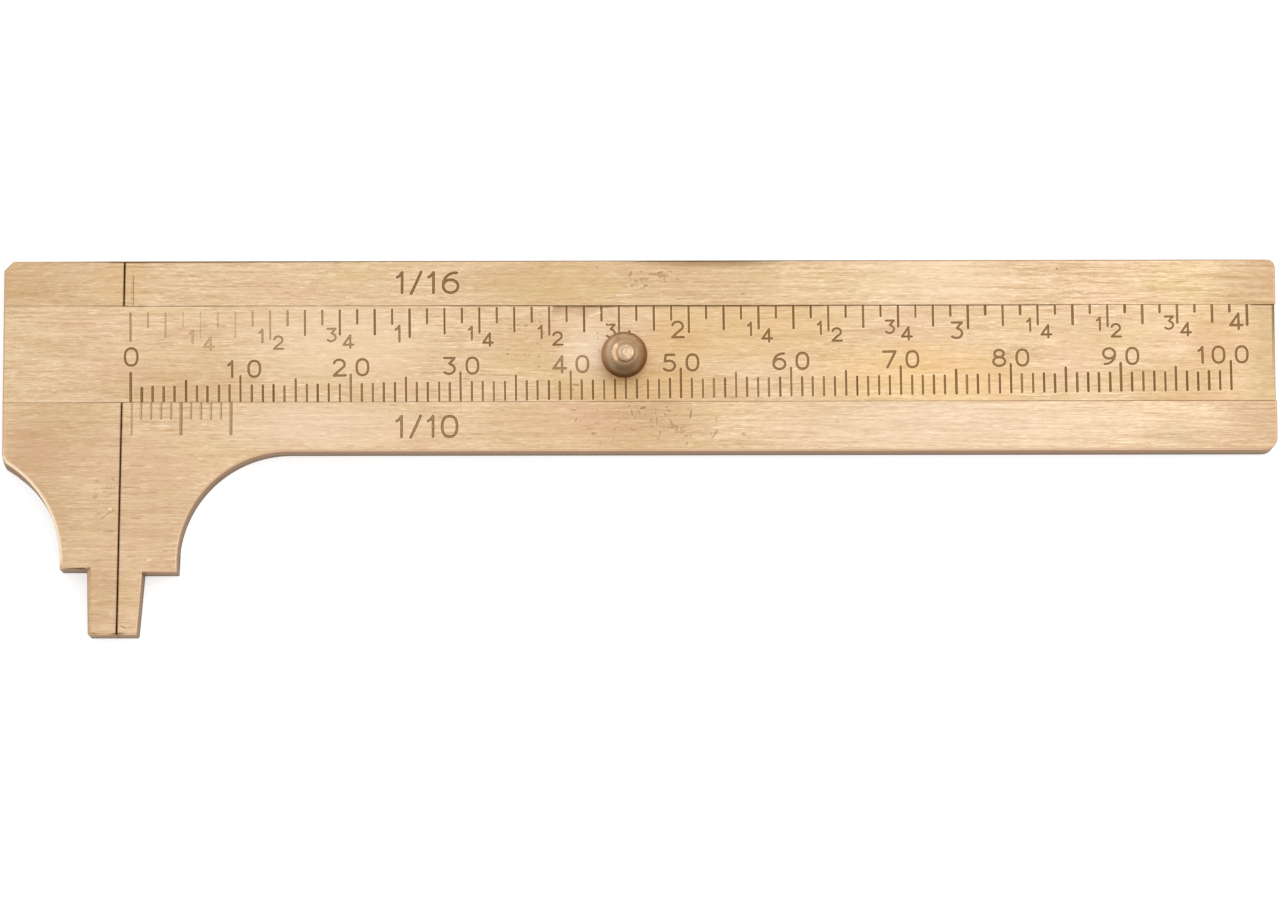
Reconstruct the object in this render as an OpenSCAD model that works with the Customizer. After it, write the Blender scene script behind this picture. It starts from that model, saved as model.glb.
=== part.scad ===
// Pocket vernier caliper in brass, 100 mm and 4 in, closed and lying on its back.
// Two soldered layers make the beam and the head: a back plate, and rails on it that form a
// dovetail channel. A scale strip is let into the head and runs in the beam's channel.
// Frame: X runs along the scale, Y across it with the jaws towards -Y, Z out of the scale face.
// The origin is on the back face, where the zero line crosses the middle of the channel.

/* [Beam] */
// Measuring range of the millimetre scale, in whole centimetres
scale_len = 100; // [60:10:150]
// From the beam's jaw face to the zero line, along the middle of the channel
zero_inset = 0.65; // [0.4:0.01:1.5]
// Beam past the last millimetre line
end_margin = 4.2; // [3.5:0.1:8]
// Width of the channel at the face
channel_w = 8.85; // [7.5:0.05:11]
// Width of the upper rail at the face
upper_rail_w = 4.15; // [3.2:0.05:6]
// Width of the lower rail at the face
lower_rail_w = 4.5; // [3.6:0.05:7]
// Thickness of the back plates
plate_t = 1.5; // [1:0.1:2.5]
// Thickness of the rails and of the jaws' front layer
rail_t = 2; // [1.5:0.1:3]
// Lean of the channel's flanks from upright, in degrees
dovetail_lean = 30; // [10:1:40]
// Radius of the two corners at the beam's free end
end_corner_r = 0.75; // [0.2:0.05:1.5]

/* [Jaws] */
// How far both jaw faces lean out of square, in degrees, away from the scale at their ends
face_lean = 0.67; // [0:0.01:1]
// From the beam's lower edge to the fixed jaw's shoulder
fixed_jaw_len = 11; // [8:0.1:16]
// From the beam's lower edge to the moving jaw's shoulder
moving_jaw_len = 10.7; // [8:0.1:16]
// Radius of the hollow curve that runs from the beam into each jaw
jaw_curve_r = 10.1; // [4:0.1:12]
// Width of each jaw at its shoulder
jaw_w = 5.25; // [4.2:0.05:8]
// Length of the nibs, from midway between the two shoulders to their ends, which are level
nib_len = 5.85; // [3:0.05:9]
// Width of the fixed jaw's nib at the shoulder
fixed_nib_w = 2.15; // [1.6:0.05:3.6]
// How much narrower the fixed jaw's nib is at its end
fixed_nib_taper = 0.4; // [0.05:0.05:0.8]
// Width of the moving jaw's nib at the shoulder
moving_nib_w = 2.8; // [1.6:0.05:3.8]
// How much narrower the moving jaw's nib is at its end
moving_nib_taper = 0.2; // [0.05:0.05:0.8]
// Bevel along the outer edges of the moving jaw's nib, for reaching into a hole
moving_nib_bevel = 0.4; // [0.1:0.05:0.6]
// Gap left between the closed jaws
jaw_gap = 0.1; // [0.04:0.02:0.3]

/* [Head] */
// Length of the sliding head, from its left edge to its jaw face, along the middle of the channel
head_len = 10.85; // [9:0.05:14]
// Chamfer on the head's upper left corner
head_chamfer = 0.85; // [0.2:0.05:2]

/* [Scale strip] */
// Running clearance on each flank, measured along the face
flank_clear = 0.06; // [0.03:0.01:0.2]
// Running clearance under the strip
floor_clear = 0.1; // [0.05:0.01:0.3]
// How far the strip stops short of the beam's end
strip_setback = 0.1; // [0.05:0.05:1]
// Bevel on the face edge of the strip's free end
strip_end_bevel = 0.25; // [0.1:0.05:0.6]

/* [Knob] */
// From the zero line to the knob
knob_x = 44.9; // [20:0.1:50]
// From the middle of the strip to the knob, which is riveted a little off it
knob_y = -0.4; // [-0.5:0.1:0.5]
// Widest diameter of the knob
knob_d = 4.2; // [3.4:0.1:7]
// Height of the knob above the face
knob_h = 3.7; // [2.6:0.1:5]
// Diameter of the knob's foot
knob_foot_d = 2.8; // [2.4:0.1:3.3]
// Height of the foot, below the ball
knob_foot_h = 0.35; // [0.2:0.05:0.8]
// Diameter of the flat turned on the knob's crown
knob_crown_d = 2.3; // [2.1:0.05:2.6]
// Diameter of the rivet's shank
rivet_d = 1.4; // [1:0.1:1.6]
// Diameter of the rivet's hammered head
rivet_head_d = 1.85; // [1.8:0.05:2.1]
// Height of the rivet's hammered head
rivet_head_h = 0.3; // [0.15:0.05:0.6]
// Radial clearance of the shank in the knob and the strip
rivet_clear = 0.02; // [0.01:0.01:0.05]
// Depth of the countersink under the strip
sink_depth = 0.5; // [0.2:0.05:0.8]

/* [Engraving] */
// Depth of the engraved lines
line_depth = 0.1; // [0.05:0.01:0.2]
// Width of the lines on the strip
line_w = 0.2; // [0.1:0.01:0.3]
// How far the engraved scales lean out of line with the strip, in degrees
scale_lean = 0.75; // [0:0.05:0.9]
// Bottom of the millimetre lines, below the middle of the strip
mm_low = 4.7; // [4:0.05:5.5]
// Length of a 1 mm line
mm_line = 1.86; // [1:0.02:2.2]
// Length of a 5 mm line
mm_line_5 = 2.38; // [1.4:0.02:2.6]
// Length of a 10 mm line
mm_line_10 = 2.76; // [1.8:0.02:3]
// Length of the zero line
mm_line_zero = 3.2; // [2:0.02:3.4]
// Top of the inch lines, above the middle of the strip
inch_high = 3.85; // [3.2:0.05:4.2]
// Length of a 1/16 in line
inch_line_16 = 1.44; // [0.8:0.02:2]
// Length of a 1/8 in or 1/4 in line
inch_line_8 = 2.4; // [1.4:0.02:2.8]
// Length of a 1/2 in or 1 in line
inch_line_2 = 2.68; // [1.6:0.02:3]
// Divisions of the vernier, which span one less than as many millimetres
vernier_div = 10; // [10:10:20]
// Length of a short vernier line
vernier_line = 1.6; // [1:0.05:2]
// Length of the first, middle and last vernier lines
vernier_line_long = 3.05; // [2:0.05:3.3]
// Width of the long vernier lines
vernier_line_w = 0.33; // [0.15:0.01:0.4]
// Length of the index line on the upper rail
index_line = 2.8; // [1.5:0.1:3]

/* [Hidden] */

$fn = 96;
inch = 25.4;
sixteenth = inch / 16;
// Bare strip kept past the last inch line
mark_margin = 2.2;
// How far a cut or a joined outline runs past what it meets
lap = 0.5;
// Steps in the curve of the knob's side
ball_steps = 18;

face_z = plate_t + rail_t;
half_channel = channel_w / 2;
beam_top = half_channel + upper_rail_w;
beam_low = -half_channel - lower_rail_w;
beam_w = beam_top - beam_low;
// From the beam's lower edge up to the middle of the channel
mid_channel = lower_rail_w + half_channel;
fixed_face_x = -zero_inset;
moving_face_x = fixed_face_x - jaw_gap;
head_left = moving_face_x - head_len;
beam_right = scale_len + end_margin;
beam_len = beam_right - fixed_face_x;
strip_right = beam_right - strip_setback;
// From the beam's lower edge to the ends of both nibs
nib_reach = (fixed_jaw_len + moving_jaw_len) / 2 + nib_len;
mm_count = scale_len;
inch_count = floor((beam_right - mark_margin) / sixteenth);
vernier_pitch = (vernier_div - 1) / vernier_div;
// Where the leaning zero line meets the vernier, and the index line is scribed too
vernier_x = half_channel * sin(scale_lean);
// End of the strip's wide part, which stays behind the whole of the leaning jaw face
wide_strip_end = moving_face_x - flank_y(0) * tan(face_lean);

fixed_nib = nib_side(fixed_jaw_len, fixed_nib_w, fixed_nib_taper, face_lean);
moving_nib = nib_side(moving_jaw_len, moving_nib_w, moving_nib_taper, -face_lean);

brass = [0.86, 0.72, 0.5];
brass_strip = [0.88, 0.75, 0.53];
brass_plate = [0.8, 0.65, 0.43];
brass_dark = [0.55, 0.42, 0.26];
brass_bright = [0.93, 0.8, 0.6];

// Half the channel's width at a height above its floor
function flank_y(above_floor) = half_channel + (rail_t - above_floor) * tan(dovetail_lean);

// Outlines, seen on the face

// Where a jaw face stands at a height above the beam's lower edge, from its place in mid channel
function face_u(v, lean) = (v - mid_channel) * tan(lean);

// Puts what is drawn along +X from a jaw face at the beam's lower edge in its place
module at_fixed_jaw() {
    translate([fixed_face_x, beam_low, 0]) children();
}

module at_moving_jaw() {
    translate([moving_face_x, beam_low, 0]) mirror([1, 0, 0]) children();
}

// Outer side of a nib, from the shoulder at [0] to the end at [1]
function nib_side(jaw_len, nib_w, taper, lean) = [
    [face_u(-jaw_len, lean) + nib_w, -jaw_len],
    [face_u(-nib_reach, lean) + nib_w - taper, -nib_reach]
];

// A bar as long as given, from its jaw face, with its jaw and nib below it
module bar_and_jaw(length, top, jaw_len, nib, lean) {
    curve_r = min(jaw_curve_r, jaw_len);
    jaw_x = face_u(-jaw_len, lean) + jaw_w;
    difference() {
        polygon([
            [face_u(top, lean), top],
            [length, top],
            [length, -jaw_len],
            nib[0],
            nib[1],
            [face_u(-nib_reach, lean), -nib_reach]
        ]);
        translate([jaw_x, -curve_r]) {
            translate([curve_r, 0]) circle(r = curve_r);
            translate([curve_r, 0]) square([max(length - jaw_x - curve_r, 0) + lap, curve_r]);
            translate([0, -jaw_len]) square([length + lap, jaw_len]);
        }
    }
}

// The part of a bar above the channel
module bar_top(length, lean) {
    polygon([
        [0, mid_channel],
        [length, mid_channel],
        [length, beam_w],
        [face_u(beam_w, lean), beam_w]
    ]);
}

// What a rounded corner leaves off at [x, y]: the upper corner with up = 1, the lower with -1
module corner_waste(x, y, up) {
    r = end_corner_r;
    translate([x - r, y - up * r]) difference() {
        translate([0, up < 0 ? -r - lap : 0]) square(r + lap);
        circle(r = r);
    }
}

// What the chamfer leaves off the head's upper corner
module head_corner_waste() {
    polygon([
        [head_len - head_chamfer, beam_w],
        [head_len, beam_w - head_chamfer],
        [head_len + lap, beam_w - head_chamfer],
        [head_len + lap, beam_w + lap],
        [head_len - head_chamfer, beam_w + lap]
    ]);
}

// The beam from its lower edge up to a height, with its fixed jaw
module beam_outline(top) {
    at_fixed_jaw() difference() {
        bar_and_jaw(beam_len, top, fixed_jaw_len, fixed_nib, face_lean);
        corner_waste(beam_len, 0, -1);
        corner_waste(beam_len, beam_w, 1);
    }
}

// The head from its lower edge up to a height, with its moving jaw
module head_outline(top) {
    at_moving_jaw() difference() {
        bar_and_jaw(head_len, top, moving_jaw_len, moving_nib, -face_lean);
        head_corner_waste();
    }
}

// Cuts in the layers

// The bevel along the moving nib's outer edge, at the height of the face or the back
module nib_edge(z) {
    side = moving_nib_bevel * sqrt(2);
    root = moving_nib[0];
    run = root - moving_nib[1];
    at_moving_jaw() intersection() {
        translate([root[0], root[1], z])
            rotate([0, 0, -atan2(run[0], run[1])])
                rotate([0, 45, 0])
                    cube([side, 2 * (run[1] + lap), side], center = true);
        translate([0, root[1] - run[1] - lap, z - lap - side])
            cube([jaw_w, run[1] + lap, 2 * (lap + side)]);
    }
}

// The dovetail channel between two places along X, from its floor to past the face
module channel_space(x0, x1) {
    translate([x0, 0, plate_t])
        rotate([90, 0, 90])
            linear_extrude(x1 - x0)
                polygon([
                    [-flank_y(0), 0],
                    [flank_y(0), 0],
                    [flank_y(rail_t + lap), rail_t + lap],
                    [-flank_y(rail_t + lap), rail_t + lap]
                ]);
}

// Engraved lines

// A line's groove, which stands at x and spans low to high
module groove(x, low, high, width) {
    translate([x - width / 2, low, face_z - line_depth])
        cube([width, high - low, line_depth + lap]);
}

function mm_line_at(i) =
    i == 0 ? mm_line_zero :
    i % 10 == 0 ? mm_line_10 :
    i % 5 == 0 ? mm_line_5 : mm_line;

function inch_line_at(i) =
    i % 8 == 0 ? inch_line_2 :
    i % 2 == 0 ? inch_line_8 : inch_line_16;

module strip_scales() {
    rotate([0, 0, scale_lean]) {
        for (i = [0:mm_count])
            groove(i, -mm_low, mm_line_at(i) - mm_low, line_w);
        for (i = [0:inch_count])
            groove(i * sixteenth, inch_high - inch_line_at(i), inch_high, line_w);
    }
}

module vernier_scale() {
    top = -half_channel + lap;
    for (i = [0:vernier_div]) {
        long = i % 5 == 0;
        groove(vernier_x + i * vernier_pitch, -half_channel - (long ? vernier_line_long : vernier_line),
               top, long ? vernier_line_w : line_w);
    }
}

// Beam

module beam_plate() {
    color(brass_plate) linear_extrude(plate_t) beam_outline(beam_w);
}

// An outline as thick as a rail, standing on the back plate
module front_layer() {
    translate([0, 0, plate_t]) linear_extrude(rail_t) children();
}

module upper_rail() {
    color(brass) difference() {
        front_layer() at_fixed_jaw() difference() {
            bar_top(beam_len, face_lean);
            corner_waste(beam_len, beam_w, 1);
        }
        channel_space(fixed_face_x - lap, beam_right + lap);
        groove(vernier_x, half_channel - lap, half_channel + index_line, line_w);
    }
}

module lower_rail() {
    color(brass) difference() {
        front_layer() beam_outline(mid_channel);
        channel_space(fixed_face_x - lap, beam_right + lap);
        vernier_scale();
    }
}

// Slide

module head_plate() {
    color(brass_plate) difference() {
        linear_extrude(plate_t) head_outline(beam_w);
        nib_edge(0);
    }
}

module head_block() {
    color(brass) difference() {
        front_layer() at_moving_jaw() difference() {
            bar_top(head_len, -face_lean);
            head_corner_waste();
        }
        channel_space(head_left - lap, moving_face_x + lap);
    }
}

module moving_jaw() {
    color(brass) difference() {
        front_layer() head_outline(mid_channel);
        channel_space(head_left - lap, moving_face_x + lap);
        nib_edge(face_z);
    }
}

// A dovetail bar that lies clear of the channel by the given amounts
module dovetail_bar(x0, x1, side_clear, under) {
    low = flank_y(under) - side_clear;
    high = flank_y(rail_t) - side_clear;
    translate([x0, 0, plate_t])
        rotate([90, 0, 90])
            linear_extrude(x1 - x0)
                polygon([[-low, under], [low, under], [high, rail_t], [-high, rail_t]]);
}

// Puts what is drawn round the rivet's axis, with z measured from the face, in its place
module at_knob() {
    translate([knob_x, knob_y, face_z]) children();
}

// Shank and countersunk foot of the knob's rivet, widened by a clearance
module rivet_stem(clear, top) {
    strip_t = rail_t - floor_clear;
    rotate_extrude() polygon([
        [0, -strip_t],
        [rivet_d / 2 + clear + sink_depth, -strip_t],
        [rivet_d / 2 + clear, sink_depth - strip_t],
        [rivet_d / 2 + clear, top],
        [0, top]
    ]);
}

module scale_strip() {
    bevel_side = strip_end_bevel * sqrt(2);
    color(brass_strip) difference() {
        union() {
            dovetail_bar(head_left, wide_strip_end, 0, 0);
            dovetail_bar(wide_strip_end - lap, strip_right, flank_clear, floor_clear);
        }
        strip_scales();
        translate([strip_right, 0, face_z])
            rotate([0, 45, 0])
                cube([bevel_side, channel_w + lap, bevel_side], center = true);
        at_knob() rivet_stem(rivet_clear, lap);
    }
}

// Knob

// Side of the ball: an elliptical arc about the axis, from the foot's edge to the crown's
function ball_side(foot_r, wide_r, crown_r, low, high) =
    let(
        low_turn = acos(foot_r / wide_r),
        high_turn = acos(crown_r / wide_r),
        half_h = (high - low) / (sin(low_turn) + sin(high_turn)),
        wide_z = low + half_h * sin(low_turn)
    )
    [
        for (i = [0:ball_steps])
            let(a = -low_turn + (low_turn + high_turn) * i / ball_steps)
            [wide_r * cos(a), wide_z + half_h * sin(a)]
    ];

module thumb_knob() {
    crown_z = knob_h - rivet_head_h;
    bore_r = rivet_d / 2 + rivet_clear;
    color(brass_dark) at_knob() rotate_extrude() polygon(concat(
        [[bore_r, 0], [knob_foot_d / 2, 0]],
        ball_side(knob_foot_d / 2, knob_d / 2, knob_crown_d / 2, knob_foot_h, crown_z),
        [[bore_r, crown_z]]
    ));
}

module knob_rivet() {
    crown_z = knob_h - rivet_head_h;
    head_r = rivet_head_d / 2;
    color(brass_bright) at_knob() {
        rivet_stem(0, crown_z + rivet_head_h / 2);
        translate([0, 0, crown_z]) rotate_extrude() polygon(concat(
            [[0, 0], [head_r, 0]],
            [for (a = [0:15:90]) [head_r * (0.6 + 0.4 * cos(a)), rivet_head_h * (0.3 + 0.7 * sin(a))]],
            [[0, rivet_head_h]]
        ));
    }
}

beam_plate();
upper_rail();
lower_rail();
head_plate();
head_block();
moving_jaw();
scale_strip();
thumb_knob();
knob_rivet();
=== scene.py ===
"""Dresses the pocket vernier caliper: brushed brass, engraved scales, studio and camera.

The frame gives every piece its place and its overall size. Each piece here is a finer mesh
that stands for one solid of the frame. Plans are drawn in millimetres and meshes are built
in metres.
"""
import logging
import math
from dataclasses import dataclass, field
from enum import Enum
from typing import Callable, Iterable

import bpy
import numpy as np
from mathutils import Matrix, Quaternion, Vector
from mathutils.geometry import delaunay_2d_cdt


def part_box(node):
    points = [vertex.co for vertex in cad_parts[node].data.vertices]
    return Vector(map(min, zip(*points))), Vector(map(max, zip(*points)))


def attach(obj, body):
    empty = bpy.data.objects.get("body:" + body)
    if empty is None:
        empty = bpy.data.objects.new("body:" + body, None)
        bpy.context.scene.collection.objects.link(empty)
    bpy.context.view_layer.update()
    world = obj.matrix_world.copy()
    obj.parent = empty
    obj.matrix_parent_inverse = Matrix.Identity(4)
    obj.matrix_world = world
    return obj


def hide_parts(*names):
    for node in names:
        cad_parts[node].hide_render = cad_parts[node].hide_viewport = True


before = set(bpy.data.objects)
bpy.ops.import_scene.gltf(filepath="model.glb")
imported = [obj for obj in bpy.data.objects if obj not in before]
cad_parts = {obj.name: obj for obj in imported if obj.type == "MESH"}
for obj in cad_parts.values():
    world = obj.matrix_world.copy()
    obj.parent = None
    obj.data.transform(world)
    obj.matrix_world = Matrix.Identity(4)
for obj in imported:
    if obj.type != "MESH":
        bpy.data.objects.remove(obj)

MM = 0.001
SEED = 23
INCH = 25.4
PHOTO_WIDTH = 1280
CHUNK = 2000
WHITE = (1.0, 1.0, 1.0, 1.0)

log = logging.getLogger("caliper")

Triple = tuple[float, float, float]
Rgb = Triple
Point = tuple[float, float]
Path = tuple[np.ndarray, bool]
Ding = tuple[Point, Point, float, float]
Socket = bpy.types.NodeSocket


class Body(Enum):
    """The two bodies of the frame that pieces ride on."""

    BEAM = "beam"
    SLIDE = "slide"


class Slot(Enum):
    """The kinds of finish that pieces take."""

    FACE = "face_brass"
    PLATE = "plate_brass"
    STRIP = "strip_brass"
    KNOB = "knob_brass"
    RIVET = "rivet_brass"


def box_mm(node: str) -> tuple[np.ndarray, np.ndarray]:
    """Lowest and highest corner of a frame solid, in millimetres.

    Args:
        node: Name of the solid.

    Returns:
        The two corners as arrays of x, y and z.
    """
    low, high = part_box(node)
    return np.array(low) / MM, np.array(high) / MM


def linear(rgb: Rgb) -> tuple[float, float, float, float]:
    """A colour written in 0 to 255 display values, as a shader's linear colour.

    Args:
        rgb: Red, green and blue as they show on a screen.

    Returns:
        Linear red, green, blue and an alpha of 1.
    """
    shown = np.array(rgb) / 255
    low = shown / 12.92
    high = ((shown + 0.055) / 1.055) ** 2.4
    return (*np.where(shown <= 0.04045, low, high).tolist(), 1.0)


def smooth(low: float, high: float, value: float) -> float:
    """A smooth step from 0 at low to 1 at high."""
    t = min(max((value - low) / (high - low), 0.0), 1.0)
    return t * t * (3 - 2 * t)


def arc(centre: Point, radii: Point, start: float, end: float, steps: int) -> np.ndarray:
    """Points on an ellipse: the centre plus the radii times cosine and sine of the angle.

    Args:
        centre: Middle of the ellipse.
        radii: Half width and half height.
        start: First angle, in degrees.
        end: Last angle, in degrees.
        steps: Number of chords.

    Returns:
        An array of steps + 1 points.
    """
    a = np.radians(np.linspace(start, end, steps + 1))
    return np.stack([centre[0] + radii[0] * np.cos(a), centre[1] + radii[1] * np.sin(a)], axis=1)


def segment_reach(points: np.ndarray, a: np.ndarray, b: np.ndarray,
                  scale: np.ndarray) -> tuple[np.ndarray, np.ndarray]:
    """For each point, the nearest segment when distances are divided by each one's scale.

    Args:
        points: Points to measure from.
        a: First ends of the segments.
        b: Second ends of the segments.
        scale: What each segment's distance is divided by.

    Returns:
        The least scaled distance of each point, and the index of its segment.
    """
    along = b - a
    square = np.maximum((along ** 2).sum(axis=1), 1e-12)
    least, index = [], []
    for first in range(0, len(points), CHUNK):
        gap = points[first:first + CHUNK, None] - a[None]
        t = np.clip((gap * along).sum(axis=2) / square, 0, 1)
        off = np.linalg.norm(gap - t[..., None] * along, axis=2) / scale
        best = off.argmin(axis=1)
        index.append(best)
        least.append(off[np.arange(len(best)), best])
    return np.concatenate(least), np.concatenate(index)


def inside(points: np.ndarray, loop: np.ndarray) -> np.ndarray:
    """Whether each point lies inside a closed loop, by the crossings of a ray along +X.

    Args:
        points: Points to test.
        loop: Corners of the loop.

    Returns:
        A truth value for each point.
    """
    a, b = loop, np.roll(loop, -1, axis=0)
    rise = np.where(a[:, 1] == b[:, 1], 1e-12, b[:, 1] - a[:, 1])
    found = []
    for first in range(0, len(points), CHUNK):
        p = points[first:first + CHUNK, None]
        spans = (a[:, 1] > p[..., 1]) != (b[:, 1] > p[..., 1])
        cross = a[:, 0] + (p[..., 1] - a[:, 1]) * (b[:, 0] - a[:, 0]) / rise
        found.append((spans & (p[..., 0] < cross)).sum(axis=1) % 2 == 1)
    return np.concatenate(found)


@dataclass
class Outline:
    """A closed plan, drawn anticlockwise, that knows how each of its edges is finished.

    Attributes:
        points: Corners, in millimetres.
        rounds: Radius along the face of the edge that leaves each corner.
        wears: How strongly each edge is rubbed, from 0 to 1, or up to 2 where a painted highlight
        lies on it, or how wide its dark band of grime and painted shade is, below 0.
        leans: How far the foot of the wall stands off its head at each corner.
        feet: Height of the wall's foot at each corner, above the slab's own foot.
    """

    points: list[Point] = field(default_factory=list)
    rounds: list[float] = field(default_factory=list)
    wears: list[float] = field(default_factory=list)
    leans: list[Point] = field(default_factory=list)
    feet: list[float] = field(default_factory=list)

    SOLDERED = 0.015
    IN_LINE = 0.01
    SHARP_TURN = math.radians(20)
    END_GAP = 1e-4

    def to(self, x: float, y: float, radius: float, wear: float = 1.0,
           lean: Point = (0.0, 0.0), foot: float = 0.0) -> None:
        """Adds a corner.

        Args:
            x: Place of the corner along the scale.
            y: Place of the corner across it.
            radius: Rounding of the edge that leaves the corner.
            wear: How strongly that edge is rubbed, up to 2 with a painted highlight on it, or below
                0
            how wide its dark band of grime and painted shade is.
            lean: How far the wall's foot stands off here.
            foot: Height of the wall's foot here.
        """
        self.points.append((x, y))
        self.rounds.append(radius)
        self.wears.append(wear)
        self.leans.append(lean)
        self.feet.append(foot)

    def curve(self, path: np.ndarray, radius: float, wear: float = 1.0,
              lean: np.ndarray | None = None) -> None:
        """Adds a run of corners.

        Args:
            path: Points of the run.
            radius: Rounding of its edges.
            wear: How strongly they are rubbed, and above 1 how strong a painted highlight on them
                is.
            lean: How far the wall's foot stands off at each of the points.
        """
        lean = np.zeros_like(path) if lean is None else lean
        for (x, y), out in zip(path.tolist(), lean.tolist()):
            self.to(x, y, radius, wear, tuple(out))

    def soldered(self) -> "Outline":
        """The outline with tight unrubbed edges, for a plate that lies under another."""
        self.rounds = [min(r, self.SOLDERED) for r in self.rounds]
        self.wears = [0.0] * len(self.wears)
        return self

    def mirrored(self, face_x: float) -> "Outline":
        """The outline seen in a mirror that stands at x = 0, then moved so that 0 is face_x.

        Args:
            face_x: Where x = 0 of the outline goes.

        Returns:
            A new outline, anticlockwise again.
        """
        turned = Outline()
        for i in reversed(range(len(self.points))):
            x, y = self.points[i]
            dx, dy = self.leans[i]
            turned.to(face_x - x, y, self.rounds[i - 1], self.wears[i - 1], (-dx, dy), self.feet[i])
        return turned

    def loop(self) -> np.ndarray:
        """The corners as an array."""
        return np.array(self.points)

    def normals(self) -> np.ndarray:
        """The inward normal of each edge: its direction turned a quarter to the left."""
        step = np.roll(self.loop(), -1, axis=0) - self.loop()
        step /= np.linalg.norm(step, axis=1, keepdims=True)
        return np.stack([-step[:, 1], step[:, 0]], axis=1)

    def mitres(self, depth: np.ndarray) -> np.ndarray:
        """How far each corner moves when every edge moves in by its own depth.

        The move x solves x . n = depth for the normals of the two edges that meet. Where
        they are nearly in line, it is their mean normal times their mean depth.

        Args:
            depth: How far each edge moves in.

        Returns:
            A move for each corner.
        """
        n_next = self.normals()
        n_last = np.roll(n_next, 1, axis=0)
        d_next, d_last = depth, np.roll(depth, 1)
        turn = n_last[:, 0] * n_next[:, 1] - n_last[:, 1] * n_next[:, 0]
        straight = np.abs(turn) < self.IN_LINE
        safe = np.where(straight, 1.0, turn)
        exact = np.stack([
            (d_last * n_next[:, 1] - d_next * n_last[:, 1]) / safe,
            (d_next * n_last[:, 0] - d_last * n_next[:, 0]) / safe,
        ], axis=1)
        plain = (n_last + n_next) / 2 * ((d_last + d_next) / 2)[:, None]
        return np.where(straight[:, None], plain, exact)

    def stations(self, shares: np.ndarray) -> np.ndarray:
        """The corners, with more points close to each sharp one.

        There the rounding of one edge runs out through the next, so that edge needs points
        at the given shares of the rounding's radius.

        Args:
            shares: Distances from the corner, in radii of the rounding that runs out.

        Returns:
            The refined loop.
        """
        loop = self.loop()
        count = len(loop)
        step = np.roll(loop, -1, axis=0) - loop
        last = np.roll(step, 1, axis=0)
        length = np.linalg.norm(step, axis=1)
        bend = np.abs(np.arctan2(np.cross(last, step), (last * step).sum(axis=1)))
        sharp = bend > self.SHARP_TURN
        refined = []
        for i in range(count):
            after = (i + 1) % count
            near = shares * self.rounds[i - 1] if sharp[i] else np.empty(0)
            far = length[i] - shares[::-1] * self.rounds[after] if sharp[after] else np.empty(0)
            reach = np.concatenate([[0.0], near, far])
            on_edge = (reach >= 0) & (reach < length[i] - self.END_GAP)
            reach = np.unique(np.round(reach[on_edge], 6))
            refined.append(loop[i] + step[i] * (reach / length[i])[:, None])
        return np.concatenate(refined)


@dataclass(frozen=True)
class Stroke:
    """One engraved stroke.

    Attributes:
        path: Its middle line, in millimetres.
        width: Its width at the face.
        depth: Its depth in the middle.
        tone: How dark its old polish and dirt are, from 0 to 1.
        closed: Whether the path ends where it starts.
    """

    path: np.ndarray
    width: float
    depth: float
    tone: float
    closed: bool = False

    CAP_STEPS = 5

    def offset(self, half: float) -> list[np.ndarray]:
        """Loops at a distance on both sides of the path, with round ends where it is open.

        Args:
            half: The distance.

        Returns:
            One loop round an open path, or an outer and an inner loop for a closed one.
        """
        path = self.path
        if self.closed:
            tangent = np.roll(path, -1, axis=0) - np.roll(path, 1, axis=0)
        else:
            tangent = np.gradient(path, axis=0)
        tangent /= np.linalg.norm(tangent, axis=1, keepdims=True)
        normal = np.stack([-tangent[:, 1], tangent[:, 0]], axis=1) * half
        if self.closed:
            return [path + normal, path - normal]
        ends = []
        for point, side in ((path[-1], normal[-1]), (path[0], -normal[0])):
            a = np.linspace(0, math.pi, self.CAP_STEPS + 1)[1:-1, None]
            forward = np.array([side[1], -side[0]])
            ends.append(point + side * np.cos(a) + forward * np.sin(a))
        return [np.concatenate([path + normal, ends[0], (path - normal)[::-1], ends[1]])]


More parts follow.
